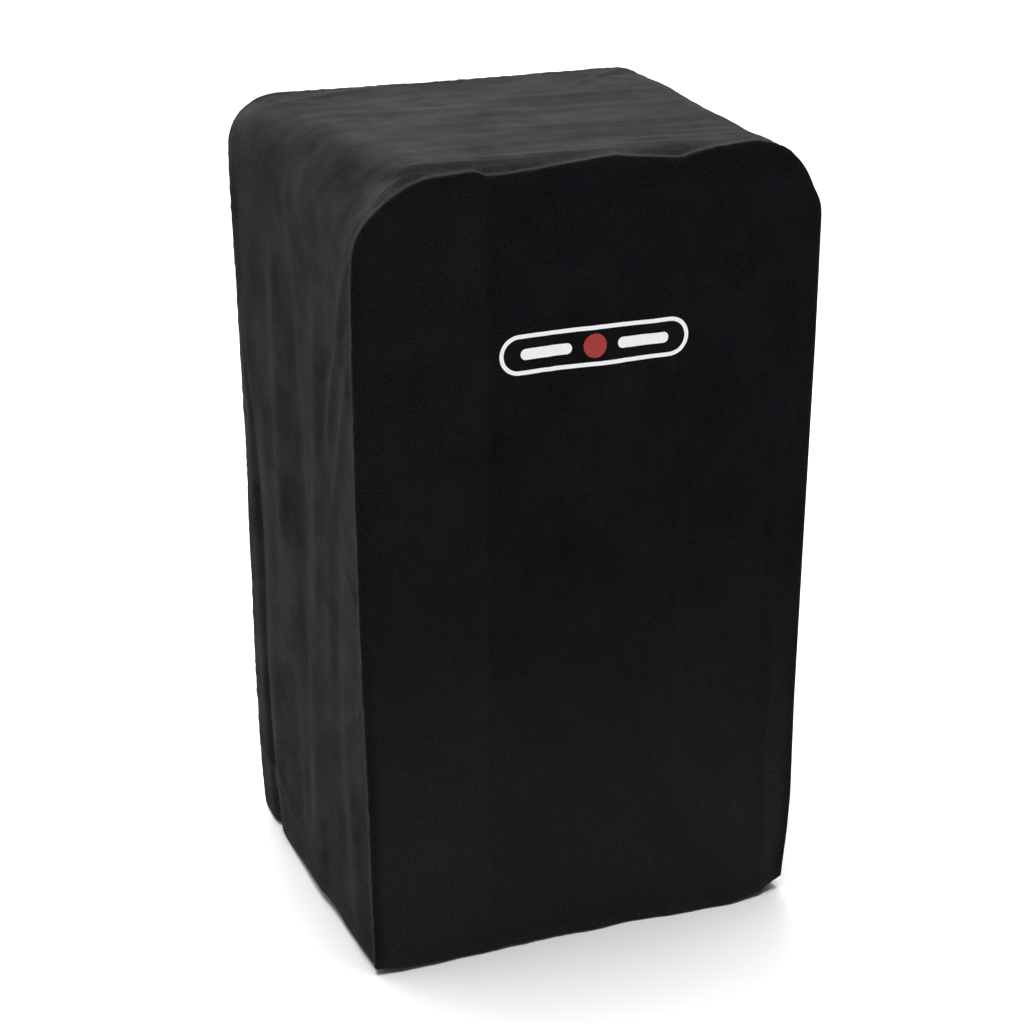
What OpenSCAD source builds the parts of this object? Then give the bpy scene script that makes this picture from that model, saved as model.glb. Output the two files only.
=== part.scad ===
// Electric cabinet smoker standing under its fitted fabric cover.
// +X is to the right, +Y to the back and +Z up. The origin is on the floor, under the cover's middle.

/* [Cover] */
// Outside width of the cover
cover_w = 484; // [482:1:500]
// Outside depth of the cover
cover_d = 398; // [398:1:420]
// Height of the cover's top above the floor
cover_h = 837; // [836:1:850]
// Height of the hem above the floor
hem_z = 5; // [3:1:12]
// Radius of the cover's two top corners
cover_r = 68; // [62:1:74]
// Thickness of the cover's cloth
cloth_t = 1.2; // [0.8:0.1:1.4]

/* [Cabinet] */
// Outside width of the cabinet
cab_w = 456; // [450:1:458]
// Height of the cabinet's top above the floor
cab_top = 829; // [826:1:831]
// Height of the base pan above the floor
base_z = 70; // [68:1:71]
// Radius of the cabinet's top shoulders
shell_r = 60; // [56:1:64]
// Thickness of the cabinet's sheet steel
sheet = 1.2; // [1:0.1:1.3]

/* [Chamber] */
// Inside width of the smoking chamber
chamber_w = 404; // [398:1:406]
// Height of the chamber's floor above the ground
floor_z = 104; // [102:1:106]
// Height of the chamber's ceiling above the ground
ceiling_z = 715; // [708:1:716]
// Height of the lowest rack
rack_z = 330; // [324:1:336]
// Height from one rack to the next
rack_pitch = 95; // [85:1:98]

/* [Door] */
// Width of the door
door_w = 452; // [446:1:452]
// Thickness of the door
door_t = 34; // [32:1:36]
// Height of the door's bottom edge
door_z0 = 76; // [76:1:80]
// Height of the door's top edge
door_z1 = 733; // [729:1:733]

/* [Running gear] */
// Radius of the rear wheels
wheel_r = 32; // [28:1:33]
// Width of the rear wheels
wheel_w = 22; // [18:1:24]

/* [Hidden] */
$fn = 64;

eps = 1;                              // overshoot of a cutting solid
front_y = -144;                       // face of the front frame
back_y = 184;                         // outer face of the back panel
flange = 12;                          // width of the shell's rear flange
cab_in = cab_w / 2 - sheet;           // half width inside the shell
wool_top = 745;                       // top of the insulation, and floor of the electronics bay
chamber_x = chamber_w / 2;
chamber_y = 155;                      // inner face of the liner's back wall
door_back = front_y - 6;              // back face of the door, a gasket's height off the frame
door_front = door_back - door_t;      // front face of the door
fascia_z0 = door_z1 + 5;              // bottom edge of the control fascia
fascia_w = door_w;
fascia_wall = 2.5;

hinge_x = 214;                        // axis of the door's hinge pins
hinge_y = -166;
pin_r = 3;
run_gap = 0.05;                       // radial clearance of a turning fit

axle_y = 140;                         // rear axle
axle_r = 4;
wheel_x = 188;                        // middle of each rear wheel

vent_x = -120;                        // smoke vent in the back wall
vent_z = 665;
vent_r = 24;

element_x = 90;                       // half the distance between the heater's legs
element_y = -30;                      // where the heater's front bend begins
element_z = 130;
element_r = 4;

stand_z = 142;                        // underside of the chip box's stand
box_z = stand_z + sheet + 0.3;        // underside of the chip box
box_x = 55;                           // half width of the chip box
box_y = 85;                           // half depth of the chip box
box_h = 37.5;
lid_pin_x = -60;                      // hinge axis of the chip box's lid
lid_pin_z = box_z + box_h + 1.6;
lid_pin_r = 2;

shelf_z = 290;                        // underside of the water pan's shelf
pan_x = 147;                          // half width of the water pan
pan_y = 92;                           // half depth of the water pan
pan_mid_y = 2;
pan_h = 45;

drain_y = -40;                        // drain in the chamber's floor
drain_r = 7;

tray_x = 86;                          // half width of the grease tray
tray_y0 = -176;
tray_y1 = 30;
tray_z = 32;
tray_h = 26;

inlet = [160, 135];                   // middle of the power inlet, across and up
cable_y = 171;                        // depth of the cable channel in the back insulation
cable_x = 135;
cable_z = 152;
cable_top = 780;
board_x = 60;                         // where the harness meets the control board

grip_y = 20;                          // middle of the carrying grips
grip_z = 600;
pull_x = -178;                        // middle of the door's pull
pull_z = 405;
cup_long = 110;                       // inside length of a grip cup
cup_high = 40;
cup_deep = 20;
cup_wall = 1.5;
cup_lip = 10;

key_z = 783;                          // row of keys and the probe jack
key_x = [10, 50, 90];
key_r = 8.5;
jack_x = 165;
jack_bore = 1.75;

rack_x = 193.5;                       // rod centres of a rack
rack_front = -125;
rack_back = 130;
rod_r = 3;
wire_r = 1.25;
wire_pitch = 12;
ledge_t = 2;
rest_gap = 0.3;                       // air between a loose piece and what it lies on
seam = 0.1;                           // gap where two pieces of one make meet end to end

screw_z = [120, 320, 520, 720];       // screws down each side of the back panel
screw_x = 222;

// Outline of a panel with two round top corners, drawn across and up.
module arch(w, bottom, top, r) {
    translate([-w / 2, bottom]) square([w, top - r - bottom]);
    translate([r - w / 2, bottom]) square([w - 2 * r, top - bottom]);
    for (s = [-1, 1]) translate([s * (w / 2 - r), top - r]) intersection() {
        circle(r);
        translate([-r, 0]) square([2 * r, r]);
    }
}

// Rectangle with four round corners, from corner a to corner b.
module round_rect(a, b, r) {
    translate([a[0] + r, a[1]]) square([b[0] - a[0] - 2 * r, b[1] - a[1]]);
    translate([a[0], a[1] + r]) square([b[0] - a[0], b[1] - a[1] - 2 * r]);
    for (x = [a[0] + r, b[0] - r], y = [a[1] + r, b[1] - r]) translate([x, y]) circle(r);
}

// Stands a drawing across and up on edge, from depth y0 to depth y1.
module along_y(y0, y1) translate([0, y1, 0]) rotate([90, 0, 0]) linear_extrude(y1 - y0) children();

// Box from corner a to corner b.
module box(a, b) translate(a) cube(b - a);

// Round bars along each axis, starting at p.
module bar_x(p, length, r) translate(p) rotate([0, 90, 0]) cylinder(h = length, r = r);
module bar_y(p, length, r) translate(p) rotate([-90, 0, 0]) cylinder(h = length, r = r);
module bar_z(p, length, r) translate(p) cylinder(h = length, r = r);

// ---- Cover ----

module cover_panel(y0) along_y(y0, y0 + cloth_t) arch(cover_w, hem_z, cover_h, cover_r);

module cover_front_panel() color("#1a181b") cover_panel(-cover_d / 2);

module cover_back_panel() color("#1a181b") cover_panel(cover_d / 2 - cloth_t);

// One strip that runs up the left side, over the top and down the right side.
module cover_gusset() color("#2a2b29")
    along_y(cloth_t - cover_d / 2, cover_d / 2 - cloth_t) difference() {
        arch(cover_w, hem_z, cover_h, cover_r);
        arch(cover_w - 2 * cloth_t, hem_z - eps, cover_h - cloth_t, cover_r - cloth_t);
    }

// Printed badge on the front panel.
module cover_badge() color("#dcdce0")
    along_y(-cover_d / 2 - 0.3, -cover_d / 2) round_rect([-100, 630], [100, 670], 19);

// ---- Cabinet ----

module screw_holes(r) for (s = [-1, 1], z = screw_z)
    bar_y([s * screw_x, back_y - 3 * sheet, z], 4 * sheet, r);

// Sockets in the side walls that the carrying cups sit in.
module grip_sockets(gap) for (s = [-1, 1])
    translate([s * cab_w / 2, grip_y, grip_z]) rotate([0, 0, s * 90])
        translate([-cup_long / 2 - cup_wall - gap, -eps, -cup_high / 2 - cup_wall - gap])
            cube([cup_long + 2 * (cup_wall + gap), cup_deep + cup_wall + gap + eps,
                  cup_high + 2 * (cup_wall + gap)]);

module cabinet_shell() color("#202022") difference() {
    union() {
        along_y(front_y, back_y - sheet) difference() {
            arch(cab_w, base_z, cab_top, shell_r);
            arch(cab_w - 2 * sheet, base_z - eps, cab_top - sheet, shell_r - sheet);
        }
        along_y(back_y - 2 * sheet, back_y - sheet) difference() {
            arch(cab_w, base_z, cab_top, shell_r);
            arch(cab_w - 2 * flange, base_z - eps, cab_top - flange, shell_r - flange);
        }
    }
    grip_sockets(0);
    screw_holes(2.1);
}

module back_panel() color("#202022") difference() {
    along_y(back_y - sheet, back_y) arch(cab_w, base_z, cab_top, shell_r);
    screw_holes(2.1);
    bar_y([vent_x, back_y - 2 * sheet, vent_z], 4 * sheet, vent_r);
    box([inlet[0] - 14.2, back_y - 5, inlet[1] - 10.5], [inlet[0] + 14.2, back_y + 5, inlet[1] + 10.5]);
    box([-100, back_y - 5, 115], [100, back_y + 5, 165]);
}

module base_pan() color("#202022") difference() {
    box([-cab_in, front_y + sheet, base_z], [cab_in, back_y - 2 * sheet, base_z + sheet]);
    bar_z([0, drain_y, base_z - eps], 4, drain_r);
}

module front_frame() color("#2a2a2c") difference() {
    along_y(front_y, front_y + sheet)
        arch(2 * cab_in, base_z, cab_top - sheet, shell_r - sheet);
    box([-chamber_x, front_y - eps, floor_z], [chamber_x, front_y + 5, ceiling_z]);
    box([-100, front_y - eps, 758], [100, front_y + 5, 806]);
}

// Five sheets with a seam between each two: floor, ceiling, back and two sides.
module chamber_liner() color("#8f9092") {
    for (z = [floor_z - sheet, ceiling_z]) difference() {
        box([-chamber_x - sheet, front_y + sheet, z], [chamber_x + sheet, chamber_y + sheet, z + sheet]);
        bar_z([0, drain_y, floor_z - 3], 5, drain_r);
    }
    difference() {
        box([-chamber_x - sheet, chamber_y, floor_z + seam], [chamber_x + sheet, chamber_y + sheet, ceiling_z - seam]);
        bar_y([vent_x, chamber_y - eps, vent_z], 4, vent_r);
        for (s = [-1, 1]) bar_y([s * element_x, chamber_y - eps, element_z], 4, 7);
        bar_y([100, chamber_y - eps, 572], 4, 3);
    }
    for (x = [-chamber_x - sheet, chamber_x])
        box([x, front_y + sheet, floor_z + seam], [x + sheet, chamber_y - seam, ceiling_z - seam]);
}

// Route of the cable from the control board down to the inlet and the heater's terminals.
module cable_run(r) {
    bar_z([cable_x, cable_y, cable_z], cable_top - cable_z, r);
    bar_x([-element_x, cable_y, cable_z], element_x + inlet[0], r);
    for (s = [-1, 1]) bar_z([s * element_x, cable_y, element_z + 3.2], cable_z - element_z - 3.2, r);
    bar_z([inlet[0], cable_y, inlet[1] + 10], cable_z - inlet[1] - 10, r);
    for (x = [-element_x, inlet[0]]) translate([x, cable_y, cable_z]) sphere(r);
}

module cabinet_insulation() color("#d9c98a") difference() {
    box([-cab_in, front_y + sheet, base_z + sheet], [cab_in, back_y - 2 * sheet, wool_top]);
    box([-chamber_x - sheet, front_y, floor_z - sheet],
        [chamber_x + sheet, chamber_y + sheet, ceiling_z + sheet]);
    grip_sockets(0.2);
    bar_y([vent_x, chamber_y, vent_z], 40, vent_r);
    box([inlet[0] - 15, chamber_y + 3, inlet[1] - 11], [inlet[0] + 15, back_y, inlet[1] + 11]);
    for (s = [-1, 1]) bar_y([s * element_x, chamber_y, element_z], 40, 8);
    cable_run(4.5);
    bar_z([0, drain_y, base_z], floor_z - base_z, drain_r);
}

// Two ladders on the chamber's side walls that carry the racks.
module rack_rails() color("#b9bbbe") for (s = [-1, 1]) scale([s, 1, 1]) {
    for (y = [-100, 112]) box([chamber_x - 3, y, rack_z - 30], [chamber_x, y + 8, rack_z + 3 * rack_pitch + 30]);
    for (k = [0:3]) {
        z = rack_z + k * rack_pitch;
        box([chamber_x - 14, -128, z - ledge_t], [chamber_x, 140, z]);
        box([chamber_x - 14, 138, z - ledge_t], [chamber_x, 140, z + 6]);
    }
}

module pan_shelf() color("#8f9092") difference() {
    box([-chamber_x, -115, shelf_z], [chamber_x, 122, shelf_z + sheet]);
    translate([0, 0, shelf_z - eps]) linear_extrude(5)
        round_rect([-pan_x - 3, pan_mid_y - pan_y - 3], [pan_x + 3, pan_mid_y + pan_y + 3], 20);
}

module heating_element() color("#6f6a66") {
    for (s = [-1, 1]) bar_y([s * element_x, element_y, element_z], 168 - element_y, element_r);
    translate([0, element_y, element_z]) rotate([0, 0, 180])
        rotate_extrude(angle = 180) translate([element_x, 0]) circle(element_r);
}

module element_terminals() color("#e8e2d4") for (s = [-1, 1]) {
    difference() {
        bar_y([s * element_x, chamber_y - 5, element_z], 16, 7);
        bar_y([s * element_x, chamber_y - 6, element_z], 18, element_r);
    }
    box([s * element_x - 0.4, 168, element_z - 3.2], [s * element_x + 0.4, 178, element_z + 3.2]);
}

module chip_stand() color("#9a9b9d") {
    difference() {
        box([-80, -95, stand_z], [80, 95, stand_z + sheet]);
        box([-45, -60, stand_z - eps], [45, 60, stand_z + 3]);
    }
    for (x = [-80, 74], y = [-95, 93.8]) box([x, y, floor_z], [x + 6, y + sheet, stand_z + sheet]);
}

module chip_box() color("#55565a") difference() {
    union() {
        box([-box_x, -box_y, box_z], [box_x, box_y, box_z + box_h]);
        for (y = [-73, 67]) box([lid_pin_x - 4, y, box_z + 26], [-box_x + 0.5, y + 6, lid_pin_z + 4]);
    }
    box([-box_x + sheet, -box_y + sheet, box_z + sheet], [box_x - sheet, box_y - sheet, box_z + box_h + eps]);
    bar_y([lid_pin_x, -80, lid_pin_z], 160, lid_pin_r);
    for (y = [-60:20:60]) bar_x([box_x - 5, y, box_z + 20], 10, 3);
}

module chip_lid_pin() color("#b9bbbe") bar_y([lid_pin_x, -76, lid_pin_z], 152, lid_pin_r);

module chip_lid() color("#55565a") difference() {
    union() {
        box([-51, -box_y - 2, lid_pin_z - 0.6], [box_x + 3, box_y + 2, lid_pin_z + 0.6]);
        box([lid_pin_x, -60, lid_pin_z - 0.6], [-50, 60, lid_pin_z + 0.6]);
        bar_y([lid_pin_x, -60, lid_pin_z], 120, 3.4);
        bar_z([45, 0, lid_pin_z], 5, 2.5);
        bar_z([45, 0, lid_pin_z + 5], 4, 5);
    }
    bar_y([lid_pin_x, -61, lid_pin_z], 122, lid_pin_r + run_gap);
    for (x = [-30, -5, 20], y = [-60:24:60]) bar_z([x, y, lid_pin_z - 2], 4, 3);
}

module temperature_sensor() color("#c9cbce") {
    bar_y([100, 95, 572], chamber_y + sheet - 95, 3);
    bar_y([100, chamber_y - 1.5, 572], 1.5, 8);
}

module wiring_harness() color("#26262a") {
    cable_run(3);
    bar_x([board_x, cable_y, cable_top], cable_x - board_x, 3);
    bar_y([board_x, -170.4, cable_top], cable_y + 170.4, 3);
    for (x = [board_x, cable_x]) translate([x, cable_y, cable_top]) sphere(3);
}

module power_inlet() color("#18181a") translate([inlet[0], 0, inlet[1]]) {
    difference() {
        union() {
            box([-25, back_y, -13], [25, back_y + 2.5, 13]);
            box([-14, 162, -10], [14, back_y + 1, 10]);
        }
        box([-12.1, 167, -8.2], [12.1, back_y + 4, 8.2]);
    }
    for (p = [[-7, 0], [0, 2.5], [7, 0]]) box([p[0] - 1, 166, p[1] - 2], [p[0] + 1, 181, p[1] + 2]);
}

module wiring_cover() color("#2a2a2c") difference() {
    box([-110, back_y, 105], [110, back_y + 10, 175]);
    box([-110 + sheet, back_y - eps, 105 + sheet], [110 - sheet, back_y + 10 - sheet, 175 - sheet]);
    for (x = [-80:20:80]) bar_z([x, back_y + 4.5, 170], 10, 2);
}

module panel_screws() color("#8c8d90") for (s = [-1, 1], z = screw_z) {
    bar_y([s * screw_x, back_y - 2 * sheet, z], 2 * sheet + 0.2, 2);
    bar_y([s * screw_x, back_y, z], 2.2, 4);
}

module vent_tube() color("#9a9b9d") difference() {
    bar_y([vent_x, chamber_y, vent_z], back_y - chamber_y, vent_r);
    bar_y([vent_x, chamber_y - eps, vent_z], 40, vent_r - sheet);
}

module vent_ports() for (a = [90:120:330]) translate([14 * cos(a), 14 * sin(a)]) circle(8);

// Plate over the vent, with the rivet that the damper turns on.
module vent_plate() color("#3a3a3d") {
    translate([vent_x, 0, vent_z]) along_y(back_y, back_y + sheet) difference() {
        circle(34);
        vent_ports();
    }
    bar_y([vent_x, back_y + sheet, vent_z], 3.4, pin_r);
    bar_y([vent_x, back_y + 4, vent_z], 1.5, 6);
}

module damper_disc() color("#6f7074") translate([vent_x, 0, vent_z]) {
    along_y(back_y + sheet + rest_gap, back_y + sheet + 1.7) difference() {
        circle(28);
        circle(pin_r + run_gap);
        vent_ports();
    }
    box([20, back_y + sheet + 1, -6], [24, back_y + 9, 6]);
}

// Moulded cup with a lip to hook the fingers under. It opens towards -Y, and y = 0 is the panel's face.
module grip_cup() {
    flat = 6;
    difference() {
        union() {
            box([-cup_long / 2 - flat, -1.5, -cup_high / 2 - flat], [cup_long / 2 + flat, 0, cup_high / 2 + flat]);
            box([-cup_long / 2 - cup_wall, -0.5, -cup_high / 2 - cup_wall],
                [cup_long / 2 + cup_wall, cup_deep + cup_wall, cup_high / 2 + cup_wall]);
        }
        box([-cup_long / 2, cup_wall, -cup_high / 2], [cup_long / 2, cup_deep, cup_high / 2]);
        box([-cup_long / 2, -2, -cup_high / 2], [cup_long / 2, cup_wall + eps, cup_high / 2 - cup_lip]);
    }
}

module grip_cups() color("#151517") for (s = [-1, 1])
    translate([s * cab_w / 2, grip_y, grip_z]) rotate([0, 0, s * 90]) grip_cup();

// ---- Controls ----

module fascia_line(inset)
    arch(fascia_w - 2 * inset, fascia_z0 + inset, cab_top - inset, shell_r - 2 - inset);

module control_fascia() color("#1b1b1d") difference() {
    union() {
        along_y(door_front, front_y) difference() {
            fascia_line(0);
            fascia_line(fascia_wall);
        }
        along_y(door_front, door_front + fascia_wall) fascia_line(0);
        for (x = [-108, 132], z = [764, 802]) bar_y([x, door_front, z], 12, 3);
    }
    box([-118, door_front - eps, 763], [-22, door_front + 1.6, 803]);
    box([-112, door_front - eps, 768], [-28, door_front + 5, 798]);
    for (x = key_x) bar_y([x, door_front - eps, key_z], 6, key_r + 0.5);
    bar_y([jack_x, door_front - eps, key_z], 6, 5.6);
}

module display_lens() color("#0c1420") box([-117.8, door_front, 763.2], [-22.2, door_front + 1.6, 802.8]);

module display_module() color("#20406a") box([-111, door_front + 1.8, 769], [-29, door_front + 9, 797]);

module control_board() color("#1d5a34") {
    box([-115, door_front + 12, 758], [140, door_front + 13.6, 808]);
    for (x = key_x) bar_y([x, door_front + 11.2, key_z], 1.2, 4);
    box([-95, door_front + 13, 765], [-60, door_front + 25, 795]);
    box([100, door_front + 13, 770], [125, door_front + 30, 800]);
}

module key(x) {
    bar_y([x, door_front - 2.5, key_z], 6, key_r);
    bar_y([x, door_front + fascia_wall + rest_gap, key_z], 1.4, key_r + 2);
    bar_y([x, door_front + 3, key_z], 6.8, 3);
}
module button_power() color("#b02a20") key(key_x[0]);
module button_up() color("#c8c9cc") key(key_x[1]);
module button_down() color("#c8c9cc") key(key_x[2]);

module probe_jack() color("#b7a26a") difference() {
    union() {
        bar_y([jack_x, door_front - 2, key_z], 2, 8.5);
        bar_y([jack_x, door_front - 1, key_z], 20, 5.5);
    }
    bar_y([jack_x, door_front - 3, key_z], 18, jack_bore);
}

// ---- Door hardware on the cabinet ----

module hinge_bracket(z, leaf_z) difference() {
    union() {
        box([202, hinge_y, z], [227, front_y, z + 3]);
        bar_z([hinge_x, hinge_y, z], 3, 12);
        box([hinge_x + 1, front_y - 1.6, leaf_z], [227, front_y, leaf_z + 36]);
    }
    bar_z([hinge_x, hinge_y, z - eps], 6, pin_r);
}

module hinge_brackets() color("#7b7c80") {
    hinge_bracket(door_z1 + 1.2, door_z1 - 31.8);
    hinge_bracket(door_z0 - 4.2, door_z0 - 4.2);
}

module hinge_pins() color("#c9cbce") {
    bar_z([hinge_x, hinge_y, door_z1 - 12], 16.2, pin_r);
    bar_z([hinge_x, hinge_y, door_z0 - 4.2], 17, pin_r);
}

module magnet_catches() color("#4a4a4e") for (z = [250, 560])
    box([-222, front_y - 5.7, z - 20], [-214, front_y, z + 20]);

// ---- Running gear and grease tray ----

module front_legs() color("#202022") for (s = [-1, 1]) translate([s * 180, -110, 0]) difference() {
    box([-15, -15, 22], [15, 15, base_z]);
    box([-13.5, -13.5, 20], [13.5, 13.5, base_z - 1.5]);
}

module rubber_feet() color("#111112") for (s = [-1, 1]) translate([s * 180, -110, 0]) {
    bar_z([0, 0, 0], 3, 19);
    bar_z([0, 0, 3], 19, 21);
}

module wheel_brackets() color("#7b7c80") for (s = [-1, 1]) scale([s, 1, 1]) difference() {
    union() {
        box([172, 120, 20], [174.5, 160, base_z]);
        box([150, 120, base_z - 2.5], [174.5, 160, base_z]);
    }
    bar_x([160, axle_y, wheel_r], 20, axle_r);
}

module rear_axle() color("#9a9b9d") {
    bar_x([-204, axle_y, wheel_r], 408, axle_r);
    for (x = [-203.5, 200.5]) bar_x([x, axle_y, wheel_r], 3, 8);
}

module wheel(s) translate([s * wheel_x - wheel_w / 2, axle_y, wheel_r]) rotate([0, 90, 0]) difference() {
    union() {
        cylinder(h = wheel_w, r = wheel_r - 1.5);
        translate([0, 0, 2]) cylinder(h = wheel_w - 4, r = wheel_r);
    }
    for (z = [-eps, wheel_w - 5]) translate([0, 0, z]) difference() {
        cylinder(h = 5 + eps, r = wheel_r - 8);
        translate([0, 0, -eps]) cylinder(h = 5 + 3 * eps, r = 10);
    }
    translate([0, 0, -eps]) cylinder(h = wheel_w + 2 * eps, r = axle_r + run_gap);
}
module wheel_left() color("#151516") wheel(-1);
module wheel_right() color("#151516") wheel(1);

module tray_rails() color("#7b7c80") for (s = [-1, 1]) scale([s, 1, 1]) {
    box([tray_x + 12, -160, 54.5], [tray_x + 14, tray_y1 + 10, base_z]);
    box([tray_x + 2, -160, 54.5], [tray_x + 14, tray_y1 + 10, 56.5]);
}

module drain_spout() color("#9a9b9d") difference() {
    bar_z([0, drain_y, 62], floor_z - 62, drain_r);
    bar_z([0, drain_y, 61], floor_z - 60, drain_r - 1.5);
}

module grease_tray() color("#8f9092") difference() {
    union() {
        box([-tray_x, tray_y0, tray_z], [tray_x, tray_y1, tray_z + tray_h]);
        box([-tray_x - 10, tray_y0, tray_z + tray_h - sheet], [tray_x + 10, tray_y1, tray_z + tray_h]);
        box([-40, tray_y0 - 6, tray_z + tray_h - sheet], [40, tray_y0, tray_z + tray_h]);
        box([-40, tray_y0 - 6, tray_z + tray_h - 8], [40, tray_y0 - 6 + sheet, tray_z + tray_h]);
    }
    box([sheet - tray_x, tray_y0 + sheet, tray_z + sheet], [tray_x - sheet, tray_y1 - sheet, tray_z + tray_h + eps]);
}

// ---- Door ----

module door_line(inset) round_rect([inset - door_w / 2, door_z0 + inset], [door_w / 2 - inset, door_z1 - inset], 8 - inset);

// The pull's cup stands on end, with its lip towards the door's free edge.
module pull_place() translate([pull_x, door_front, pull_z]) rotate([0, -90, 0]) children();

module pull_socket(gap) pull_place() box(
    [-cup_long / 2 - cup_wall - gap, -eps, -cup_high / 2 - cup_wall - gap],
    [cup_long / 2 + cup_wall + gap, cup_deep + cup_wall + gap, cup_high / 2 + cup_wall + gap]);

module bush_sockets(r) {
    bar_z([hinge_x, hinge_y, door_z0 - eps], 18 + eps, r);
    bar_z([hinge_x, hinge_y, door_z1 - 18], 18 + eps, r);
}

module door_skin() color("#202022") difference() {
    along_y(door_front, door_back - sheet) door_line(0);
    along_y(door_front + sheet, door_back) door_line(sheet);
    pull_socket(0);
    bush_sockets(6);
}

module door_liner() color("#8f9092") difference() {
    along_y(door_back - sheet, door_back) door_line(0);
    for (z = [250, 560]) box([-222, door_back - 3, z - 20], [-214, door_back + 3, z + 20]);
}

module door_insulation() color("#d9c98a") difference() {
    along_y(door_front + sheet, door_back - sheet) door_line(sheet);
    pull_socket(0.2);
    bush_sockets(6);
    for (z = [250, 560]) box([-222, door_back - 3, z - 20], [-214, door_back, z + 20]);
}

// Four straight lengths and four moulded corners, set end to end.
module door_gasket() color("#4d4a47") along_y(door_back, front_y - rest_gap) difference() {
    round_rect([-chamber_x - 10, floor_z - 10], [chamber_x + 10, ceiling_z + 10], 12);
    round_rect([-chamber_x - 3, floor_z - 3], [chamber_x + 3, ceiling_z + 3], 6);
    for (x = [3 - chamber_x, chamber_x - 3]) translate([x - seam / 2, 0]) square([seam, cab_top]);
    for (z = [floor_z + 3, ceiling_z - 3]) translate([-chamber_x - 20, z - seam / 2]) square([2 * chamber_x + 40, seam]);
}

module door_pull() color("#151517") pull_place() grip_cup();

module hinge_bushes() color("#d8d6cc") difference() {
    union() {
        bush_sockets(6);
        for (z = [door_z0 - 1, door_z1]) bar_z([hinge_x, hinge_y, z], 1, 8);
    }
    for (z = [door_z0 - 3, door_z1 - 20]) bar_z([hinge_x, hinge_y, z], 23, pin_r + run_gap);
}

module strike_plates() color("#9a9b9d") for (z = [250, 560])
    box([-222, door_back - 3, z - 20], [-214, door_back, z + 20]);

// ---- Loose parts in the chamber ----

module water_pan() color("#7d7e82") difference() {
    union() {
        translate([0, 0, shelf_z + sheet + rest_gap - pan_h]) linear_extrude(pan_h)
            round_rect([-pan_x, pan_mid_y - pan_y], [pan_x, pan_mid_y + pan_y], 18);
        translate([0, 0, shelf_z + sheet + rest_gap]) linear_extrude(sheet)
            round_rect([-pan_x - 13, pan_mid_y - pan_y - 13], [pan_x + 13, pan_mid_y + pan_y + 13], 28);
    }
    translate([0, 0, shelf_z + 2 * sheet + rest_gap - pan_h]) linear_extrude(pan_h + 5)
        round_rect([sheet - pan_x, pan_mid_y - pan_y + sheet], [pan_x - sheet, pan_mid_y + pan_y - sheet], 17);
}

// Wire rack: a rod frame with round corners, one cross rod, and the grid wires welded on top.
module rack(k) {
    bend = 15;
    z = rack_z + (k - 1) * rack_pitch + rod_r + rest_gap;
    color("#d4d6d9") union() {
        for (x = [-rack_x, rack_x]) bar_y([x, rack_front + bend, z], rack_back - rack_front - 2 * bend, rod_r);
        for (y = [rack_front, 0, rack_back]) bar_x([bend - rack_x, y, z], 2 * (rack_x - bend), y == 0 ? 2 : rod_r);
        for (c = [[-1, rack_front, 180], [1, rack_front, 270], [1, rack_back, 0], [-1, rack_back, 90]])
            translate([c[0] * (rack_x - bend), c[1] + (c[1] < 0 ? bend : -bend), z]) rotate([0, 0, c[2]])
                rotate_extrude(angle = 90) translate([bend, 0]) circle(rod_r);
        for (s = [-1, 1]) bar_x([s > 0 ? rack_x - bend : -rack_x, 0, z], bend, 2);
        for (x = [-15 * wire_pitch:wire_pitch:15 * wire_pitch])
            if (abs(x) < rack_x - bend + 1) bar_y([x, rack_front, z + 2], rack_back - rack_front, wire_r);
    }
}

cover_front_panel();
cover_back_panel();
cover_gusset();
cover_badge();
cabinet_shell();
back_panel();
base_pan();
front_frame();
chamber_liner();
cabinet_insulation();
rack_rails();
pan_shelf();
heating_element();
element_terminals();
chip_stand();
chip_box();
chip_lid_pin();
temperature_sensor();
wiring_harness();
power_inlet();
wiring_cover();
panel_screws();
vent_tube();
vent_plate();
grip_cups();
control_fascia();
display_lens();
display_module();
control_board();
probe_jack();
hinge_brackets();
hinge_pins();
magnet_catches();
front_legs();
rubber_feet();
wheel_brackets();
rear_axle();
tray_rails();
drain_spout();
door_skin();
door_liner();
door_insulation();
door_gasket();
door_pull();
hinge_bushes();
strike_plates();
damper_disc();
chip_lid();
water_pan();
grease_tray();
rack(1);  // rack_1
rack(2);  // rack_2
rack(3);  // rack_3
rack(4);  // rack_4
button_power();
button_up();
button_down();
wheel_left();
wheel_right();
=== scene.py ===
"""Looks for a compact electric cabinet smoker that stands under its fitted cloth cover."""
import math

import bpy
import numpy as np
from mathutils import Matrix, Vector
from mathutils.bvhtree import BVHTree
from mathutils.geometry import delaunay_2d_cdt


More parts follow.
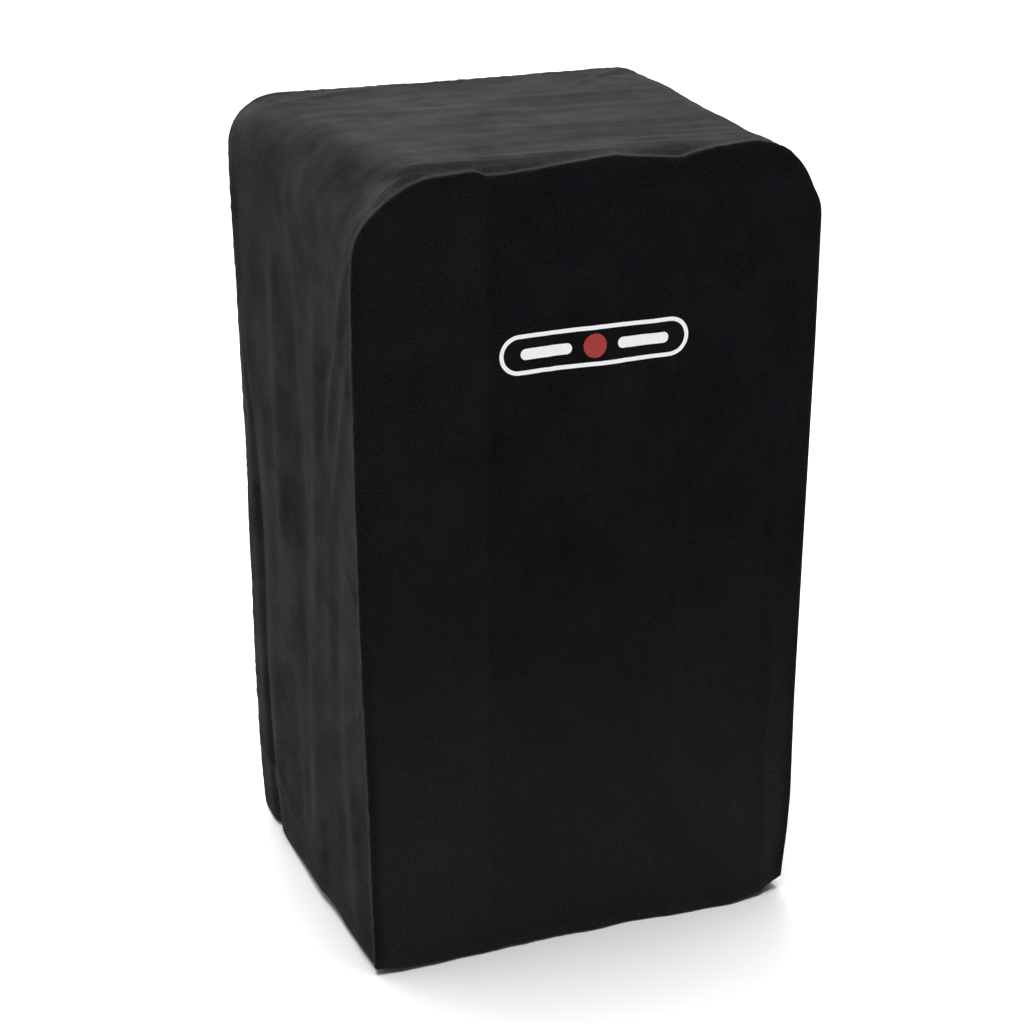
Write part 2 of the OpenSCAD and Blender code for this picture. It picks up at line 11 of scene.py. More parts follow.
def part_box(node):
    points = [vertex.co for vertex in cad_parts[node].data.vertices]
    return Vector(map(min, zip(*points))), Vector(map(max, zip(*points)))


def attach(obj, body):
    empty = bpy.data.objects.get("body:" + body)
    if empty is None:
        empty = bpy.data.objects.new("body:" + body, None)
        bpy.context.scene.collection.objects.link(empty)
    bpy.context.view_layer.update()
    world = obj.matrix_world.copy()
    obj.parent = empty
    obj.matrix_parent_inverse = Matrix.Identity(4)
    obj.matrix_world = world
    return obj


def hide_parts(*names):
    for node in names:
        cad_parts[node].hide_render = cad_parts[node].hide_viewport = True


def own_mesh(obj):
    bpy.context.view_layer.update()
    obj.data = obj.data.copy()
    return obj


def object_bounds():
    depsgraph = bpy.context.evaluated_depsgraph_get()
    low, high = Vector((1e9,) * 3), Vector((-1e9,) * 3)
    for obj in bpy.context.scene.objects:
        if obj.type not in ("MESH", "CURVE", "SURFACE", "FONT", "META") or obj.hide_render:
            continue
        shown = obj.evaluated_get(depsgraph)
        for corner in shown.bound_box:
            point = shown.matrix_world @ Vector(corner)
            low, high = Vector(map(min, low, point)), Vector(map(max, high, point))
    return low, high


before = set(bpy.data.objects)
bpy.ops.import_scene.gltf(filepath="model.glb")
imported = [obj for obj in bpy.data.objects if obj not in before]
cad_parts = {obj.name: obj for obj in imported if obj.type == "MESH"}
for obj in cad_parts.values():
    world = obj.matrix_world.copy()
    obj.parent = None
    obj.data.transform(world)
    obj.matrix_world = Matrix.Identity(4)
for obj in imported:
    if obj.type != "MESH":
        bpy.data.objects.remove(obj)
cad_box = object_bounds()
scene = bpy.context.scene

# --------------------------------------------------------------
# Studio: a pale sweep of floor under a wide overhead softbox, with weaker ones behind and at the left.
# The camera stands to the front left, a little above the smoker's top, with a long lens.
# --------------------------------------------------------------
camera = bpy.data.objects.new("camera", bpy.data.cameras.new("camera"))
scene.collection.objects.link(camera)
camera.data.lens = 81
camera.data.sensor_width = 36
camera.data.clip_end = 60
turn, tilt, away = math.radians(21.98), math.radians(21.33), 2.4725
sight = Vector((math.sin(turn) * math.cos(tilt), math.cos(turn) * math.cos(tilt), -math.sin(tilt)))
aim = Vector((-0.007, -0.002, 0.408))
camera.location = aim - away * sight
camera.rotation_euler = sight.to_track_quat("-Z", "Y").to_euler()
scene.camera = camera
scene.view_settings.view_transform = "Standard"


def new_material(name, base, roughness=0.5, **sockets):
    """A material with one Principled shader; returns the material, its node tree and the shader."""
    material = bpy.data.materials.new(name)
    material.use_nodes = True
    shader = material.node_tree.nodes["Principled BSDF"]
    shader.inputs["Base Color"].default_value = (*base, 1)
    shader.inputs["Roughness"].default_value = roughness
    for socket, value in sockets.items():
        shader.inputs[socket.replace("_", " ")].default_value = value
    material.diffuse_color = (*base, 1)
    return material, material.node_tree, shader


floor_mesh = bpy.data.meshes.new("floor")
reach = 40
floor_corners = [(-reach, -reach, 0), (reach, -reach, 0), (reach, reach, 0), (-reach, reach, 0)]
floor_mesh.from_pydata(floor_corners, [], [(0, 1, 2, 3)])
floor = bpy.data.objects.new("floor", floor_mesh)
scene.collection.objects.link(floor)
floor_mesh.materials.append(new_material("floor_paint", (0.62, 0.62, 0.62), 0.9)[0])

# The surround lights the smoker only a little, but looks white past the far end of the floor.
world = bpy.data.worlds.new("studio")
scene.world = world
world.use_nodes = True
surround = world.node_tree.nodes["Background"]
surround.inputs["Color"].default_value = (1, 1, 1, 1)
direct_look = world.node_tree.nodes.new("ShaderNodeLightPath").outputs["Is Camera Ray"]
surround_strength = world.node_tree.nodes.new("ShaderNodeMapRange")
surround_strength.inputs["To Min"].default_value = 0.22
surround_strength.inputs["To Max"].default_value = 1.0
world.node_tree.links.new(direct_look, surround_strength.inputs["Value"])
world.node_tree.links.new(surround_strength.outputs[0], surround.inputs["Strength"])


def soft_sun(name, strength, spread, heading):
    """A very large, far lamp that shines along heading."""
    lamp = bpy.data.lights.new(name, "SUN")
    lamp.energy = strength
    lamp.angle = math.radians(spread)
    lamp_object = bpy.data.objects.new(name, lamp)
    lamp_object.rotation_euler = Vector(heading).to_track_quat("-Z", "Y").to_euler()
    scene.collection.objects.link(lamp_object)


soft_sun("overhead", 6.0, 46, (0.04, -0.05, -1.0))
soft_sun("back_light", 3.6, 40, (-0.22, -1.0, -0.40))
soft_sun("left_light", 0.55, 24, (0.62, -1.0, -0.55))

# --------------------------------------------------------------
# Cover cloth: heavy plain-woven polyester, dyed black, with a soft matt face that goes pale at a
# glancing view. The three panels, the hem and the rolled seams are all cut from it.
# --------------------------------------------------------------


def node_group(name, inputs, outputs):
    """An empty shader node group with named value and vector sockets."""
    group = bpy.data.node_groups.new(name, "ShaderNodeTree")
    for socket, kind in inputs:
        group.interface.new_socket(socket, in_out="INPUT", socket_type=kind)
    for socket in outputs:
        group.interface.new_socket(socket, in_out="OUTPUT", socket_type="NodeSocketFloat")
    return group, group.nodes.new("NodeGroupInput").outputs, group.nodes.new("NodeGroupOutput").inputs


def add(tree, kind, **settings):
    """A node with its settings; a key that isn't a setting names an input socket and its value or link."""
    node = tree.nodes.new(kind)
    for key, value in settings.items():
        if hasattr(node, key):
            setattr(node, key, value)
            continue
        index = int(key[1:]) if key[0] == "i" and key[1:].isdigit() else key.replace("_", " ")
        if isinstance(value, bpy.types.NodeSocket):
            tree.links.new(value, node.inputs[index])
        else:
            node.inputs[index].default_value = value
    return node


def math_node(tree, operation, first, second=0.0, third=0.0):
    """The output of one Math node."""
    return add(tree, "ShaderNodeMath", operation=operation, i0=first, i1=second, i2=third).outputs[0]


def spread(tree, value, low, high, to_low=0.0, to_high=1.0):
    """Maps low..high to to_low..to_high, with nothing beyond."""
    found = add(tree, "ShaderNodeMapRange", Value=value, From_Min=low, From_Max=high, To_Min=to_low,
                To_Max=to_high)
    return found.outputs[0]


VALUE, VECTOR = "NodeSocketFloat", "NodeSocketVector"

# Plain weave: each yarn goes over one and under the next, so the height is a checker of round bumps.
weave, given, made = node_group(
    "plain_weave", [("Place", VECTOR), ("Yarns per metre", VALUE), ("Slub", VALUE)], ["Height", "Tone"])
wavy = add(weave, "ShaderNodeTexNoise", Vector=given["Place"], Scale=55.0, Detail=2.0)
shift = add(weave, "ShaderNodeVectorMath", operation="SCALE", i0=wavy.outputs["Color"], Scale=0.0009)
bent = add(weave, "ShaderNodeVectorMath", operation="ADD", i0=given["Place"], i1=shift.outputs[0])
axes = add(weave, "ShaderNodeSeparateXYZ", Vector=bent.outputs[0])
turns = math_node(weave, "MULTIPLY", given["Yarns per metre"], math.pi)
warp = math_node(weave, "SINE", math_node(weave, "MULTIPLY", axes.outputs["X"], turns))
weft = math_node(weave, "SINE", math_node(weave, "MULTIPLY", axes.outputs["Y"], turns))
checker = math_node(weave, "MULTIPLY", warp, weft)
weft_way = add(weave, "ShaderNodeMapping", Vector=given["Place"], Scale=(90.0, 1800.0, 1.0)).outputs[0]
warp_way = add(weave, "ShaderNodeMapping", Vector=given["Place"], Scale=(1800.0, 90.0, 1.0)).outputs[0]
weft_slub = add(weave, "ShaderNodeTexNoise", Vector=weft_way, Scale=1.0, Detail=1.0).outputs[0]
warp_slub = add(weave, "ShaderNodeTexNoise", Vector=warp_way, Scale=1.0, Detail=1.0).outputs[0]
slubs = math_node(weave, "MULTIPLY", math_node(weave, "ADD", weft_slub, warp_slub), given["Slub"])
weave.links.new(math_node(weave, "ADD", checker, slubs), made["Height"])
# The tone is painted shade, darker in the hollows between the yarns, plus the slubs' own tone.
weave.links.new(math_node(weave, "ADD", math_node(weave, "MULTIPLY", checker, 0.12), slubs), made["Tone"])

# Painted sheen and handling marks: soft patches of painted sheen where the nap lies differently, lint
# between, and a fine crumple.
nap, given, made = node_group("cloth_nap", [("Place", VECTOR), ("Patches per metre", VALUE)],
                              ["Patch", "Lint", "Crumple"])
patch = add(nap, "ShaderNodeTexNoise", Vector=given["Place"], Scale=given["Patches per metre"], Detail=6.0,
            Roughness=0.68)
lint = add(nap, "ShaderNodeTexNoise", Vector=given["Place"], Scale=520.0, Detail=3.0, Roughness=0.75)
crushed = add(nap, "ShaderNodeTexNoise", Vector=given["Place"], Scale=38.0, Detail=4.0, Roughness=0.5,
              Distortion=0.7).outputs[0]
ridged = math_node(nap, "ABSOLUTE", math_node(nap, "SUBTRACT", crushed, 0.5))
broad = add(nap, "ShaderNodeTexNoise", Vector=given["Place"], Scale=16.0, Detail=2.0).outputs[0]
nap.links.new(math_node(nap, "MULTIPLY", spread(nap, ridged, 0.0, 0.09, 1.0, 0.0), broad), made["Crumple"])
nap.links.new(patch.outputs[0], made["Patch"])
nap.links.new(lint.outputs[0], made["Lint"])


def blend_colours(tree, share, first, second):
    """Colour that goes from first to second as share goes from 0 to 1."""
    mix = add(tree, "ShaderNodeMix", data_type="RGBA")
    for socket, value in ((mix.inputs[0], share), (mix.inputs[6], first), (mix.inputs[7], second)):
        if isinstance(value, bpy.types.NodeSocket):
            tree.links.new(value, socket)
        else:
            socket.default_value = (*value, 1)
    return mix.outputs[2]


def feed(shader, **outputs):
    """Links outputs to the shader's inputs of those names."""
    for socket, output in outputs.items():
        shader.id_data.links.new(output, shader.inputs[socket.replace("_", " ")])


def raised(shader, height, strength, distance, under=None):
    """Gives the shader bumps of a height, laid over another normal if there is one."""
    bump = add(shader.id_data, "ShaderNodeBump", Strength=strength, Distance=distance, Height=height)
    if under is not None:
        shader.id_data.links.new(under, bump.inputs["Normal"])
    feed(shader, Normal=bump.outputs[0])


yarns_per_metre = 1000.0


def weave_at(tree, place, slub):
    """The weave's outputs for a place on the flat cloth."""
    return add(tree, "ShaderNodeGroup", node_tree=weave, Place=place, Slub=slub,
               Yarns_per_metre=yarns_per_metre).outputs


def woven(name, deep, pale, turned_dye, rubbed_and_painted_light, cloud, crush, speckle, relief=0.00035, roughness=0.9):
    """Cloth that shows its weave: deep between the yarns as painted shade and pale on their tops, and paler
    where it is worn and where light is painted on. The black dye turns a little in broad patches, patches of
    painted sheen lie where the nap lies differently, and cut yarn ends speckle the face."""
    material, tree, shader = new_material(name, deep, roughness, Sheen_Weight=0.023, Sheen_Roughness=0.45,
                                          Specular_IOR_Level=0.03)
    place = add(tree, "ShaderNodeUVMap", uv_map="cloth").outputs[0]
    threads = weave_at(tree, place, 0.55)
    marks = add(tree, "ShaderNodeGroup", node_tree=nap, Place=place, Patches_per_metre=13.0).outputs
    # The cloudy patches are painted sheen where the nap lies differently; cloud sets how strong it is.
    cloudy = spread(tree, marks["Patch"], 0.36, 0.66, 0.45 - cloud / 2, 0.45 + cloud / 2)
    grain = math_node(tree, "MULTIPLY_ADD", marks["Lint"], speckle, -speckle / 2)
    tone = math_node(tree, "ADD", spread(tree, threads["Tone"], 0.1, 1.1, -0.1, 0.3), cloudy)
    tone = math_node(tree, "ADD", tone, grain)
    dye = add(tree, "ShaderNodeTexNoise", Vector=place, Scale=24.0, Detail=3.0, Roughness=0.6).outputs[0]
    face = blend_colours(tree, spread(tree, dye, 0.40, 0.60), pale, turned_dye)
    colour = blend_colours(tree, tone, deep, face)
    # This attribute holds real wear at the seams and hem, and painted light: a painted bounce from the floor
    # low on the panels and a painted highlight along the gusset's seams.
    worn = add(tree, "ShaderNodeAttribute", attribute_name="rub_and_painted_light").outputs["Fac"]
    worn = math_node(tree, "MULTIPLY", worn, spread(tree, marks["Lint"], 0.35, 0.65, 0.15, 0.8))
    feed(shader, Base_Color=blend_colours(tree, worn, colour, rubbed_and_painted_light))
    feed(shader, Roughness=spread(tree, marks["Lint"], 0.3, 0.75, roughness - 0.1, roughness + 0.08))
    crumple = add(tree, "ShaderNodeBump", Strength=1.0, Distance=crush, Height=marks["Crumple"])
    raised(shader, threads["Height"], 0.6, relief, crumple.outputs[0])
    return material


# Two copies of the same black cloth: the darker panel copy is painted shade on the front and back, and the
# paler, cloudier gusset copy is painted light and sheen on the top and sides.
shaded_panel_cloth = woven("cover_cloth_panels_shaded", (0.0008, 0.0005, 0.0011), (0.0100, 0.0078, 0.0112),
                    (0.0092, 0.0092, 0.0090), (0.030, 0.029, 0.030), 0.35, 0.0006, 4.6)
lit_strip_cloth = woven("cover_cloth_gusset_lit", (0.0028, 0.0026, 0.0025), (0.0168, 0.0176, 0.0156),
                    (0.0160, 0.0152, 0.0142), (0.036, 0.036, 0.036), 0.95, 0.0006, 3.0)

# The cloth's inner face has a thin grey waterproof coating that shows a trace of the weave.
cover_coating, tree, shader = new_material("cover_coating", (0.035, 0.036, 0.04), 0.42)
place = add(tree, "ShaderNodeUVMap", uv_map="cloth").outputs[0]
blotch = add(tree, "ShaderNodeTexNoise", Vector=place, Scale=30.0, Detail=4.0).outputs[0]
feed(shader, Roughness=spread(tree, blotch, 0.3, 0.7, 0.34, 0.6))
raised(shader, weave_at(tree, place, 0.2)["Height"], 0.25, 0.0002)

# --------------------------------------------------------------
# Cover pattern: a front and a back panel with two round top corners, and one long gusset between
# them. The cloth is sewn inside out, hangs from the cabinet's shoulders and clears the floor.
# --------------------------------------------------------------
gusset_low, gusset_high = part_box("cover_gusset")
front_y, back_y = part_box("cover_front_panel")[0].y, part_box("cover_back_panel")[1].y
half_width, hem, crown = gusset_high.x, gusset_low.z, gusset_high.z
depth = back_y - front_y
cabinet_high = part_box("cabinet_shell")[1]
cloth = 0.0011                       # thickness of the cloth
mm = 0.001
front_corner, back_corner = 82 * mm, 50 * mm


def smooth(value):
    """0 below 0, 1 above 1, and a soft step between."""
    held = np.clip(value, 0, 1)
    return held * held * (3 - 2 * held)


def arch(radius, side_steps=150, bend_steps=26, top_steps=72):
    """Outline of a panel from the left hem over the top to the right hem: points, and outward normals."""
    climb = np.linspace(0, 1, side_steps, endpoint=False)
    bend = np.linspace(0, math.pi / 2, bend_steps, endpoint=False)
    cross = np.linspace(0, 0.5, top_steps // 2 + 1)
    x = np.concatenate([np.full(side_steps, -half_width), radius - half_width - radius * np.cos(bend),
                        radius - half_width + cross * 2 * (half_width - radius)])
    z = np.concatenate([hem + climb * (crown - radius - hem), crown - radius + radius * np.sin(bend),
                        np.full(len(cross), crown)])
    nx = np.concatenate([np.full(side_steps, -1.0), -np.cos(bend), np.zeros(len(cross))])
    nz = np.concatenate([np.zeros(side_steps), np.sin(bend), np.ones(len(cross))])
    x, z = np.concatenate([x, -x[-2::-1]]), np.concatenate([z, z[-2::-1]])
    return x, z, np.concatenate([nx, -nx[-2::-1]]), np.concatenate([nz, nz[-2::-1]])


def rumple(across, up, wave_across, wave_up, seed, count=14):
    """Soft random waves of about unit height, the same on each run."""
    draw = np.random.default_rng(seed)
    total = np.zeros(np.broadcast(across, up).shape)
    for _ in range(count):
        k_across, k_up = draw.normal() / wave_across, draw.normal() / wave_up
        total += np.sin(2 * math.pi * (k_across * across + k_up * up) + draw.uniform(0, 2 * math.pi))
    return total / math.sqrt(count / 2)


def fold(across, up, start, end, width, height, lean=0.0):
    """A fold from start to end, in millimetres: round across its width, dying out at both ends."""
    begin, finish = np.array(start) * mm, np.array(end) * mm
    run = finish - begin
    length = np.hypot(*run)
    share = ((across - begin[0]) * run[0] + (up - begin[1]) * run[1]) / length ** 2
    aside = ((across - begin[0]) * run[1] - (up - begin[1]) * run[0]) / length / (width * mm)
    ends = smooth(share * 4 + 0.5) * smooth((1 - share) * 4 + 0.5)
    return height * mm * ends * np.exp(-aside ** 2) * (1 + lean * aside)


def folds(across, up, *creases):
    """Several folds together, each one as fold takes it: start, end, width, height and perhaps lean."""
    return sum(fold(across, up, *crease) for crease in creases)


def walked_length(x, z):
    """How far along a row of points each one is."""
    return np.cumsum(np.hypot(np.diff(x, prepend=x[0]), np.diff(z, prepend=z[0])))


def along(value, pairs):
    """Reads a given line of (place, height) pairs, both in millimetres, at each value in metres."""
    places, heights = zip(*pairs)
    return np.interp(value, np.array(places) * mm, np.array(heights) * mm)


# How far each cut edge of the cover stands off its pattern, in millimetres, where it hangs.
front_dip = [(-242, 0), (-236, 2), (-222, 8), (-200, 10), (-156, 8), (-125, 6.5), (-118, 8), (-112, 12),
             (-90, 12), (-51, 9), (3, 4), (19, 3), (39, 6), (71, 9), (88, 11.5), (98, 8.5), (123, 4),
             (149, 2), (200, 0.5), (225, 3), (236, 4), (242, 0)]
front_left_bow = [(5, -5), (60, -4), (130, -3), (205, -1.5), (318, 1), (425, 3), (625, 4), (722, 3), (790, 0)]
front_right_bow = [(5, -10), (30, -8), (67, -5), (114, -3), (229, -4), (400, -2.5), (628, 0), (790, 0)]
back_bow = [(5, -3), (60, 0), (200, 2), (420, 1), (520, 3), (640, 4.5), (700, 6), (760, 7), (800, 6)]
left_hem = [(-199, 8), (-98, 9), (-81, 12), (9, 13), (122, 3), (180, 6), (199, 19)]
right_hem = [(-199, 16), (-170, 9), (-60, 5), (60, 9), (150, 4), (199, 10)]
front_hem = [(-237, 8), (-177, 4), (-116, 2.5), (-91, 4), (37, 2.5), (104, 2), (164, 2), (206, 6), (232, 16)]
back_hem = [(-239, 19), (-205, 8), (-120, 3), (0, 6), (110, 3), (200, 6), (239, 10)]
front_flare = [(-237, 0), (-177, 1), (-116, 5), (-85, 2), (37, 4), (104, 6), (164, 11), (206, 5), (232, 0)]


def hung_edge(corner, y, bow_left, bow_right, dip, seed):
    """One sewn edge as it hangs, left hem to right hem: a row of x, y, z."""
    x, z, nx, nz = arch(corner)
    bow = np.where(x < 0, along(z, bow_left), along(z, bow_right)) * np.abs(nx)
    drop = along(x, dip) * smooth((z - 0.70) / 0.06)
    pucker = 0.45 * rumple(walked_length(x, z), 0, 0.06, 1, seed)
    lift = np.where(x < 0, along(np.array(y), left_hem), along(np.array(y), right_hem)) - hem
    z_hung = z + lift * (1 - smooth((z - hem) / 0.14)) - nz * drop
    x_hung = x + np.sign(x) * bow - nx * drop + nx * 0.35 * mm * pucker
    y_hung = y + np.sign(-y) * (0.9 * mm + 0.5 * mm * pucker)
    return np.stack([x_hung, y_hung, z_hung + nz * 0.35 * mm * pucker], 1)


front_edge = hung_edge(front_corner, front_y, front_left_bow, front_right_bow, front_dip, 3)
back_edge = hung_edge(back_corner, back_y, back_bow, back_bow, [(-242, 0), (0, 1.5), (242, 0)], 5)


def clear_of_cabinet(points, gap):
    """Pushes cloth that is beside or above the cabinet out to a gap from its sheet steel."""
    shoulder = 60 * mm
    half, roof = cabinet_high.x, cabinet_high.z
    inner_x, inner_z = half - shoulder, roof - shoulder
    over_x, over_z = np.abs(points[..., 0]) - inner_x, points[..., 2] - inner_z
    out_x, out_z = np.maximum(over_x, 0), np.maximum(over_z, 0)
    reach = np.maximum(np.hypot(out_x, out_z), 1e-6)
    beside = np.where(over_z > 0, over_x > 0, True)
    distance = np.where((over_x > 0) | (over_z > 0), reach - shoulder, -1)
    push = np.clip(gap - distance, 0, 0.02) * (np.abs(points[..., 1]) < 0.187)
    push_x = np.where(over_z > 0, out_x / reach, 1.0) * np.sign(points[..., 0])
    push_z = np.where(over_z > 0, out_z / reach, 0.0)
    points[..., 0] += push * push_x * beside
    points[..., 2] += push * push_z
    return points


def new_piece(name, points, faces, *materials):
    """A smooth-shaded mesh object in the scene."""
    mesh = bpy.data.meshes.new(name)
    mesh.from_pydata([tuple(point) for point in points], [], [tuple(face) for face in faces])
    mesh.shade_smooth()
    for material in materials:
        mesh.materials.append(material)
    piece = bpy.data.objects.new(name, mesh)
    scene.collection.objects.link(piece)
    return piece


def lay_weave(mesh, places):
    """Lays the weave on a mesh, from each point's place on the flat cloth in metres."""
    layer = mesh.uv_layers.new(name="cloth")
    corners = np.zeros(len(mesh.loops), int)
    mesh.loops.foreach_get("vertex_index", corners)
    layer.data.foreach_set("uv", np.asarray(places, float)[corners].ravel())


def cloth_piece(name, points, faces, places, rubbed_and_painted_light, material, turn_over=False):
    """A sheet of cover cloth with its thickness inwards; its pale share is 1 where it is worn, and also
    carries painted light.
    """
    if turn_over:
        faces = [tuple(reversed(face)) for face in faces]
    piece = new_piece(name, points, faces, material, cover_coating)
    lay_weave(piece.data, places)
    rub_and_painted_light = piece.data.attributes.new("rub_and_painted_light", "FLOAT", "POINT")
    rub_and_painted_light.data.foreach_set("value", np.asarray(rubbed_and_painted_light, float).ravel())
    thickness = piece.modifiers.new("thickness", "SOLIDIFY")
    thickness.thickness = cloth
    thickness.offset = -1
    thickness.material_offset = 1
    return piece


def gather_with_door(piece):
    """Gives the piece a mesh of its own and hangs it on the cover's body."""
    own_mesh(piece)
    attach(piece, "cover")
    return piece


# --------------------------------------------------------------
# Cover gusset: one strip of cloth up the left side, over the top and down the right side. It sags
# over the cabinet's front edge, lies in low ridges on top and hangs in soft folds at the sides.
# --------------------------------------------------------------
near_seam = np.array([0, 1.6, 3.4, 5.6, 8.4, 12]) * mm
inner_depths = np.linspace(17 * mm, depth - 17 * mm, 76)
depths = np.concatenate([near_seam, inner_depths, depth - near_seam[::-1]])
columns = []
for d in depths:
    share = smooth(d / depth * 1.15)
    columns.append(np.stack(arch(front_corner + (back_corner - front_corner) * share), 1))
pattern = np.stack(columns, 1)                     # outline steps by depths, of x, z and the outward normal
gx, gz, gnx, gnz = np.moveaxis(pattern, 2, 0)
gy = np.broadcast_to(front_y + depths, gx.shape)
from_front, from_back = gy - front_y, back_y - gy
middle = 40                                        # a row of the strip's points near its middle
strip_length = walked_length(gx[:, middle], gz[:, middle])
run = np.broadcast_to(strip_length[:, None], gx.shape)

base_front, base_back = np.stack(arch(front_corner)[:2], 1), np.stack(arch(back_corner)[:2], 1)
pull_front = front_edge[:, [0, 2]] - base_front
pull_back = back_edge[:, [0, 2]] - base_back
on_side, on_top = smooth((np.abs(gnx) - 0.35) / 0.4), smooth((gnz - 0.35) / 0.4)
reach_front = on_side * np.exp(-(from_front / 0.10) ** 2) + (1 - on_side) * np.exp(-(from_front / 0.021) ** 2)
reach_back = on_side * np.exp(-(from_back / 0.10) ** 2) + (1 - on_side) * np.exp(-(from_back / 0.03) ** 2)
reach_front[:, 0], reach_back[:, -1] = 1, 1
px = gx + pull_front[:, None, 0] * reach_front + pull_back[:, None, 0] * reach_back
pz = gz + pull_front[:, None, 1] * reach_front + pull_back[:, None, 1] * reach_back
low = 1 - smooth((gz - hem) / 0.14)
hem_line = np.where(gx < 0, along(gy, left_hem), along(gy, right_hem)) - hem
pz = np.where(low > 0, gz + hem_line * low, pz)
py = gy + (front_edge[:, None, 1] - front_y) * np.exp(-(from_front / 0.012) ** 2) \
    + (back_edge[:, None, 1] - back_y) * np.exp(-(from_back / 0.012) ** 2)

left, right, top = on_side * (gnx < 0), on_side * (gnx > 0), on_top
swell = left * folds(
    gy, gz, ((156, 500), (138, -20), 8, -4.6), ((168, 480), (160, -20), 20, 2.4),
    ((112, 520), (104, 20), 22, 3.2), ((199, 440), (199, -40), 22, 3.5), ((196, 95), (60, 52), 6, 2.4),
    ((120, 100), (20, 30), 8, 1.8), ((182, 790), (166, 500), 8, 2.6), ((160, 640), (147, 520), 9, 1.6),
    ((190, 800), (192, 640), 8, -2.6), ((-182, 740), (-96, 545), 11, 3.4), ((-186, 700), (-60, 590), 8, -2.2),
    ((-188, 650), (-110, 480), 10, 2.4), ((-150, 210), (-158, 20), 22, 5.5),
    ((-194, 405), (-130, 440), 6, 2.2), ((-194, 300), (-120, 250), 8, 2.0),
    ((-70, 680), (-40, 330), 20, 3.6), ((10, 640), (4, 240), 20, -3.8), ((60, 720), (64, 380), 18, 3.4),
    ((-120, 480), (-96, 160), 18, -3.2), ((-40, 300), (-30, 10), 24, 3.6), ((48, 260), (40, 10), 18, -3.0),
    ((20, 780), (-30, 650), 14, 1.4))
swell += right * folds(
    gy, gz, ((150, 700), (165, 40), 16, 2.6), ((-140, 760), (-160, 330), 14, 2.0),
    ((-30, 690), (-60, 240), 26, -2.6), ((60, 560), (70, 60), 22, 2.4), ((-150, 190), (-120, 10), 18, 3.2),
    ((180, 420), (60, 380), 7, 1.2))
swell += (left + right) * 1.4 * mm * rumple(gy, gz, 0.30, 0.55, 11)
swell += (left + right) * 0.16 * mm * rumple(gy, gz, 0.07, 0.12, 12)
swell += 0.75 * top * folds(
    gx, gy, ((-190, -172), (-60, -176), 7, 2.2, 0.3), ((-120, -160), (40, -172), 6, 1.6),
    ((-20, -150), (120, -166), 7, 1.6), ((60, -140), (215, -168), 6, 1.8), ((90, -118), (225, -150), 6, 1.3),
    ((-150, -120), (60, -104), 9, 1.3), ((0, -88), (190, -112), 8, 1.4), ((-80, -40), (150, -66), 9, 1.2),
    ((-190, 0), (20, -20), 10, 1.1), ((-30, 30), (200, 6), 10, 1.1), ((-200, 70), (-20, 62), 12, 1.2),
    ((20, 90), (180, 80), 10, 1.0), ((128, 140), (212, 196), 6, 2.4, 0.4), ((-205, 150), (-90, 190), 7, 1.6),
    ((150, 178), (200, 120), 7, 1.2), ((-220, 160), (-150, 120), 8, 1.2))
swell += top * 0.3 * mm * rumple(gx, gy, 0.16, 0.09, 14)
sag = 3.6 * mm * top * (1 - (gx / half_width) ** 2) * smooth(from_front / 0.05) * smooth(from_back / 0.05)
swell -= np.clip(sag, 0, 1)
curved = np.clip(4 * on_side * on_top + 0.25 * on_top, 0, 1)
pull_lines = np.sin(run * 2 * math.pi / 0.019 + 2.2 * rumple(run, gy, 0.07, 0.2, 17)) - 0.3
pull_reach = 0.026 + 0.01 * np.sin(run / 0.013)
swell += 0.8 * mm * curved * np.clip(pull_lines, -1, 0.4) * np.exp(-(from_front / pull_reach) ** 2)
swell += 0.6 * mm * curved * pull_lines * np.exp(-(from_back / 0.03) ** 2)
swell *= smooth(from_front / 0.014) * smooth(from_back / 0.014)
puckers = rumple(run, gy, 0.012, 0.12, 21) * np.minimum(1, from_front / 0.004)
swell += 0.34 * mm * puckers * np.exp(-(np.minimum(from_front, from_back) / 0.011) ** 2)
rolled = np.minimum(from_front, from_back)
swell += 0.75 * mm * np.exp(-((rolled - 3.2 * mm) / (2.4 * mm)) ** 2)      # seam allowance under the cloth

strip = np.stack([px + gnx * swell, py, pz + gnz * swell], 2)
strip = clear_of_cabinet(strip, cloth + 0.5 * mm)
strip[:, 0], strip[:, -1] = front_edge, back_edge
steps, deep = gx.shape
ring = np.arange(steps * deep).reshape(steps, deep)
quads = np.stack([ring[:-1, :-1], ring[1:, :-1], ring[1:, 1:], ring[:-1, 1:]], 2).reshape(-1, 4)
# Paler along both seams, most where they turn over the shoulders: partly rubbing, partly a painted highlight
# on the seam edge. A worn band follows the hem.
worn = np.exp(-(rolled / 0.006) ** 2) + 0.5 * on_side * on_top * 4 * np.exp(-(rolled / 0.03) ** 2)
worn = np.clip(worn + 0.5 * np.exp(-((pz - hem - hem_line) / 0.008) ** 2), 0, 1)
gusset = cloth_piece("cover_gusset_cloth", strip.reshape(-1, 3), quads,
                     np.stack([from_front, run], 2).reshape(-1, 2), worn, lit_strip_cloth)
gather_with_door(gusset)
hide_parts("cover_gusset")

# --------------------------------------------------------------
# Cover front and back panels: flat cuts sewn to the gusset. They hang almost plumb, with faint
# creases where the cover was packed, and their hems stand off a little where the cloth is slack.
# --------------------------------------------------------------


def inside(points, outline):
    """Which points lie inside a closed outline."""
    hit = np.zeros(len(points), bool)
    x, z = points[:, 0], points[:, 1]
    for (ax, az), (bx, bz) in zip(outline, np.roll(outline, -1, 0)):
        crosses = (az > z) != (bz > z)
        if crosses.any():
            hit ^= crosses & (x < (bx - ax) * (z - az) / (bz - az if bz != az else 1e-12) + ax)
    return hit


def edge_distance(points, outline):
    """Distance of each point to the nearest outline point, and that point's number."""
    nearest = np.full(len(points), np.inf)
    which = np.zeros(len(points), int)
    for number, place in enumerate(outline):
        away = np.hypot(points[:, 0] - place[0], points[:, 1] - place[1])
        closer = away < nearest
        nearest[closer], which[closer] = away[closer], number
    return nearest, which


